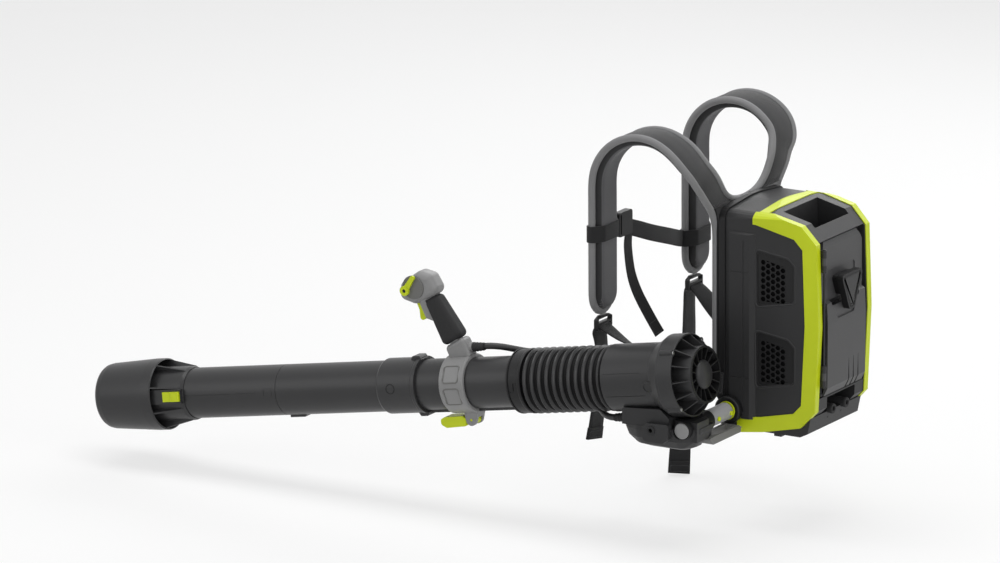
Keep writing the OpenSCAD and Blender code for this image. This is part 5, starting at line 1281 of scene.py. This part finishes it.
# %% Outlines and rims
def rounded_outline(corners, radius, per=7):
    """A closed outline with round corners, counter-clockwise, from [across, up] corners."""
    points, count = [], len(corners)
    for i in range(count):
        before, here, after = (np.array(corners[k % count], float) for k in (i - 1, i, i + 1))
        a, b = unit(before - here), unit(after - here)
        half = math.acos(np.dot(a, b)) / 2
        hub = here + unit(a + b) * radius / math.sin(half)
        first = here + a * radius / math.tan(half) - hub
        last = here + b * radius / math.tan(half) - hub
        start = math.atan2(first[1], first[0])
        turn = (math.atan2(last[1], last[0]) - start + math.pi) % (2 * math.pi) - math.pi
        angles = [start + turn * k / per for k in range(per + 1)]
        points += [hub + radius * np.array([math.cos(t), math.sin(t)]) for t in angles]
    return np.array(points)


def outline_normals(points):
    ahead = np.roll(points, -1, 0) - np.roll(points, 1, 0)
    return np.stack([ahead[:, 1], -ahead[:, 0]], 1) / np.linalg.norm(ahead, axis=1)[:, None]


def on_round_wall(at, degrees, wall):
    """A way to lay points on a round wall about the tube: ahead, round the wall and above it, in mm."""
    def lay(ahead, round_by, height):
        turned = math.radians(degrees) + round_by / wall
        return on_tube(at + ahead, (wall + height) * math.cos(turned), (wall + height) * math.sin(turned))
    return lay


def rim(name, outline, section, lay, finish, body):
    """Carries a section of [outwards, height] in mm round an outline; lay puts a point in the frame."""
    rings = [[lay(*(point + normal * out), height) for out, height in section]
             for point, normal in zip(outline, outline_normals(outline))]
    settle(skin(name, rings, [finish], loop=True), body, 40)


print("rims ready")

# %% Rims on the clamp and the lock collar
CLAMP_AT, CLAMP_RADIUS = 448.0, 50.5
CLAMP_RIM = [(-0.5, -1.9), (0, 0.5), (0.5, 1.0), (1.6, 1.0), (2.2, 0.5), (2.6, -0.6)]
CLAMP_PANELS = (-60, -106, 60, 106)
panel = rounded_outline([(-14, -14), (14, -14), (14, 14), (-14, 14)], 4)
for number, degrees in enumerate(CLAMP_PANELS):
    lay = on_round_wall(CLAMP_AT, degrees, CLAMP_RADIUS)
    # The rims are a mid grey, darker than the pale clamp: painted shade for the dark line round each sunk
    # panel.
    rim(f"clamp_rim_{number + 1}", panel, CLAMP_RIM, lay, dial_grey, "handle")

RELEASE_AT, RELEASE_RADIUS, LOCK_RADIUS = 571.0, 8.2, 47.7
RELEASE_RIM = [(-1.2, -1.6), (-0.9, 0.3), (-0.4, 0.6), (0.4, 0.6), (0.9, 0.2), (1.2, -1.6)]
release = RELEASE_RADIUS * circle_in((1, 0), (0, 1), 32)
# The release's rim is black: painted shade for the dark line round the recessed release.
rim("tube_release_ring", release, RELEASE_RIM, on_round_wall(RELEASE_AT, -85, LOCK_RADIUS), black, "tube")
print("rims", len(CLAMP_PANELS) + 1)

# %% [markdown]
# The cruise lever turns on a small pin beside the handle's head, and the triangular block on the door carries
# a smooth plate. The plate is four outlines that shrink as they rise, which is what a moulded plate with a
# rounded edge looks like; a flat face with a Bevel modifier would need the same corners again.

# %% Pin and plate
# The pin is black: it stands for the dark hole at the lever's pivot, a painted shade.
ring_stack("cruise_lever_pin", on_grip(-30.5, -24.1, 115), (0, -1, 0), [(0, 3.15), (1.3, 3.15), (1.7, 2.6)],
           black, "cruise_lever")

BLOCK_FACE = 178 + 15.5
BLOCK_CORNERS = [(35, 281), (-40, 281), (-12, 217), (6, 217)]
PLATE_LEVELS = ((5.2, -0.3), (5.2, 0.35), (5.6, 0.6), (9, 0.62))
plate = rounded_outline(BLOCK_CORNERS, 6)
gloss_black = plastic("gloss_black_plate", colour(14, 14, 15), 0.3, grain=0.01, wear_and_highlight=0.1, gloss=0.35)
rings = [[on_pack(BLOCK_FACE + lift, y, z) for y, z in plate - outline_normals(plate) * inset]
         for inset, lift in PLATE_LEVELS]
settle(skin("door_block_plate", rings, [gloss_black]), "door", 40)
print("plate", len(plate), "points round")

# %% [markdown]
# The door is a hollow shell, and when it stands open the light would shine through its slits and steps. A
# real door has a second skin inside. It is one hat-shaped section carried upwards, deeper where the panel
# stands out. A Solidify modifier would thicken the door's own wall, but it would leave the slits open.

# %% Door lining
LINING = 1.2
PANEL_BACK = 167.6
BRIM_RIGHT, SIDE_RIGHT, SIDE_LEFT, BRIM_LEFT = -67.7, -64.8, 63.8, 66.7
LINING_LEVELS = [(79.4, 171.9), (94.5, 178.7), (200, 179.7), (228, 177.9), (229.5, 170.0), (238.5, 168.7),
                 (320, 168.7)]
rings = []
for z, back in LINING_LEVELS:
    hat = [(PANEL_BACK, BRIM_RIGHT), (PANEL_BACK, SIDE_RIGHT), (back, SIDE_RIGHT), (back, SIDE_LEFT),
           (PANEL_BACK, SIDE_LEFT), (PANEL_BACK, BRIM_LEFT)]
    brim, crown = PANEL_BACK - LINING, back - LINING
    inner = [(brim, BRIM_LEFT), (brim, SIDE_LEFT - LINING), (crown, SIDE_LEFT - LINING),
             (crown, SIDE_RIGHT + LINING), (brim, SIDE_RIGHT + LINING), (brim, BRIM_RIGHT)]
    rings.append([on_pack(x, y, z) for x, y in hat + inner])
# The lining is black, so that through the slits it shows as the shade in those recesses: painted shade.
settle(skin("door_lining", rings, [black]), "door", 30)
print("door lining", len(rings), "levels")

# %% [markdown]
# ## Vents
# Four honeycomb vents let the pack breathe. Each is framed by a raised rim on the housing's tapering side,
# and behind its mesh lies a dark foam sheet that keeps the dust out. Without the sheet one could look
# straight through the pack. The rims are made like the clamp's, laid on a slanting wall instead of a round
# one, and the lower pair repeats the upper pair further down, so one list names all four.

# %% Rims and filters of the vents
SIDE_TAPER = math.radians(3)
VENT_DROP = 140
VENT_RIM = [(-1.2, -1.2), (-0.6, 0.2), (0.4, 0.8), (1.8, 0.8), (2.8, 0.3), (3.2, -0.6)]
RIM_CORNERS = [(62, 224), (133, 237), (133, 300), (121, 312), (61, 322)]
FILTER_CORNERS = [(66, 231), (129, 238), (129, 298), (119, 307), (66, 316)]
FILTER_DEPTHS = (5.4, 6.9)
VENT_ROWS = ((0, "upper"), (VENT_DROP, "lower"))
VENTS = [(side, word, drop, row) for side, word in SIDES for drop, row in VENT_ROWS]


def on_side(side):
    """A way to lay points on one side of the housing: back, up and out of its wall, in mm."""
    def lay(x, z, height):
        return on_pack(x, side * (100 - x * math.tan(SIDE_TAPER) + height), z)
    return lay


for side, word, drop, row in VENTS:
    outline = rounded_outline([(x, z - drop) for x, z in RIM_CORNERS], 5.5)
    rim(f"vent_rim_{word}_{row}", outline, VENT_RIM, on_side(side), charcoal, "pack")
foam = plastic("filter_foam", colour(14, 14, 15), 0.9, grain=0.6, pitch=1.8, wear_and_highlight=0.0, gloss=0.1, edge=0.2)
for side, word, drop, row in VENTS:
    outline = rounded_outline([(x, z - drop) for x, z in FILTER_CORNERS], 5)
    lay = on_side(side)
    sheet = [[lay(x, z, -depth) for x, z in outline] for depth in FILTER_DEPTHS]
    settle(skin(f"vent_filter_{word}_{row}", sheet, [foam]), "pack", 40)
print("vents", len(VENTS))

# %% [markdown]
# ## Small turned pieces and seams
# The hub in the middle of the intake is a low dome, a flattened quarter circle turned about the fan's axis; a
# flattened sphere would do, but half of it would be buried. The lime ring on the side arm is a thin band. On
# each strap, a row of stitches follows both sides of the outer cloth, a little inside the bead, along the
# same route as the strap itself.

# %% Hub, lime ring and seams
HUB_RADIUS, HUB_RISE = 24.6, 9.5
HUB_TURNS = (8, 18, 28, 38, 48, 58, 68, 77, 85)
dome = [(-0.8, HUB_RADIUS), (0.3, HUB_RADIUS + 0.3)]
dome += [(0.5 + HUB_RISE * math.sin(t), HUB_RADIUS * math.cos(t) + 0.2) for t in np.radians(HUB_TURNS)]
ring_stack("intake_hub", on_tube(-21.6, 0, 0), -FORWARD, dome, fan_grey, "blower")
band = ring_stack("arm_ring_band", on_pack(15, -112.6, 41), (0, -1, 0),
                  [(0, 15.4), (0.5, 16.1), (2.4, 16.1), (2.9, 15.5)], lime, "pack", bore=10.3)
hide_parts("arm_ring")
print("hub", 2 * HUB_RADIUS, "mm wide")

SEAM_FROM, SEAM_INSET, SEAM_HEIGHT = 20, 14.2, 3.4
sewn = strap_route[SEAM_FROM:]
width = sewn[:, 3:6] - sewn[:, :3]
width = width / np.linalg.norm(width, axis=1)[:, None]
seam_rows, seam_normals = [], []
for side in (-1, 1):
    for column, share in ((0, 1), (3, -1)):
        row = sewn[:, column:column + 3] + width * share * SEAM_INSET + sewn[:, 6:] * SEAM_HEIGHT
        seam_rows.append(row * [1, side, 1])
        seam_normals.append(sewn[:, 6:] * [1, side, 1])
stitches("strap_stitches", seam_rows, seam_normals, pitch=5, long=3.4)

# %% [markdown]
# ## Screws and bushes
# Real mouldings are held together by screws. They sit in the intake ring's four lugs and along the handle's
# blind side. Each head is turned from a few rings and sunk to a six-sided socket, and a screw that shows only
# as a dark dot from afar still makes the close view believable.

# %% Screws
SCREW_SIDES = 24
SOCKET_FROM = 0.5
SCREW_HEAD = [(1.0, -0.2), (1.0, 0.9), (0.93, 1.25), (0.78, 1.45), (0.5, 1.5), (0.47, 1.45), (0.45, 0.4)]


def screw_points(point, out, radius):
    """A pan head's rings; from the socket's edge inwards they are six-sided."""
    out = unit(out)
    a = unit(np.cross(out, (0.31, 0.52, 0.8)))
    b = np.cross(out, a)
    points = []
    for share, lift in SCREW_HEAD:
        for t in np.arange(SCREW_SIDES) * 2 * math.pi / SCREW_SIDES:
            six = math.cos(math.pi / 6) / math.cos((t % (math.pi / 3)) - math.pi / 6)
            r = radius * share * (six if share <= SOCKET_FROM else 1)
            points.append(point + ((a * math.cos(t) + b * math.sin(t)) * r + out * lift) / 1000)
    return points


def screws(name, places, body, radius):
    """Pan heads with a six-sided socket; places are (point in metres, outward direction)."""
    verts, faces = [], []
    for point, out in places:
        faces += stack_faces(len(verts), len(SCREW_HEAD), SCREW_SIDES)
        verts += screw_points(point, out, radius)
    mesh = bpy.data.meshes.new(name)
    mesh.from_pydata([tuple(v) for v in verts], [], faces)
    face_outwards(mesh)
    settle(new_piece(name, mesh, [steel]), body, 40)
    print(name, len(places))


LUG_RADIUS = 68.3
LUG_ANGLES = (45, 135, 225, 315)
HANDLE_SCREWS = ((-29, 19, 110), (4, 19, 103), (0, 14, -26))
lugs = [on_tube(1.0, LUG_RADIUS * math.cos(t), LUG_RADIUS * math.sin(t)) for t in np.radians(LUG_ANGLES)]
screws("intake_screws", [(lug, -FORWARD) for lug in lugs], "blower", 3.2)
screws("handle_screws", [(on_grip(*place), INWARD) for place in HANDLE_SCREWS], "handle", 2.8)

# %% [markdown]
# Rubber bushes line the holes that take accessory pegs: one in the cradle and two below the door. They are
# turned like the boots, with a soft lip in front and a bore that leaves the hole free.

# %% Bushes round the peg holes
PEG_BUSH = [(0, 8.3), (3.2, 8.3), (4.6, 7.6), (5.0, 6.6), (5.0, 4.4), (4.4, 3.7)]
SOCKET_BUSH = [(0, 8.8), (3.6, 8.8), (4.8, 8.2), (5.2, 7.2), (5.2, 5.0), (4.6, 4.2)]
SOCKET_Y = 23
ring_stack("peg_bush", on_pack(-37, -276, 38.5), (0, -1, 0), PEG_BUSH, rubber, "blower",
           bore=3.62)
for side, word in SIDES:
    ring_stack("socket_bush_" + word, on_pack(166, side * SOCKET_Y, 44), (1, 0, 0), SOCKET_BUSH, rubber,
               "pack", bore=4.1)
print("bushes", 1 + len(SIDES))
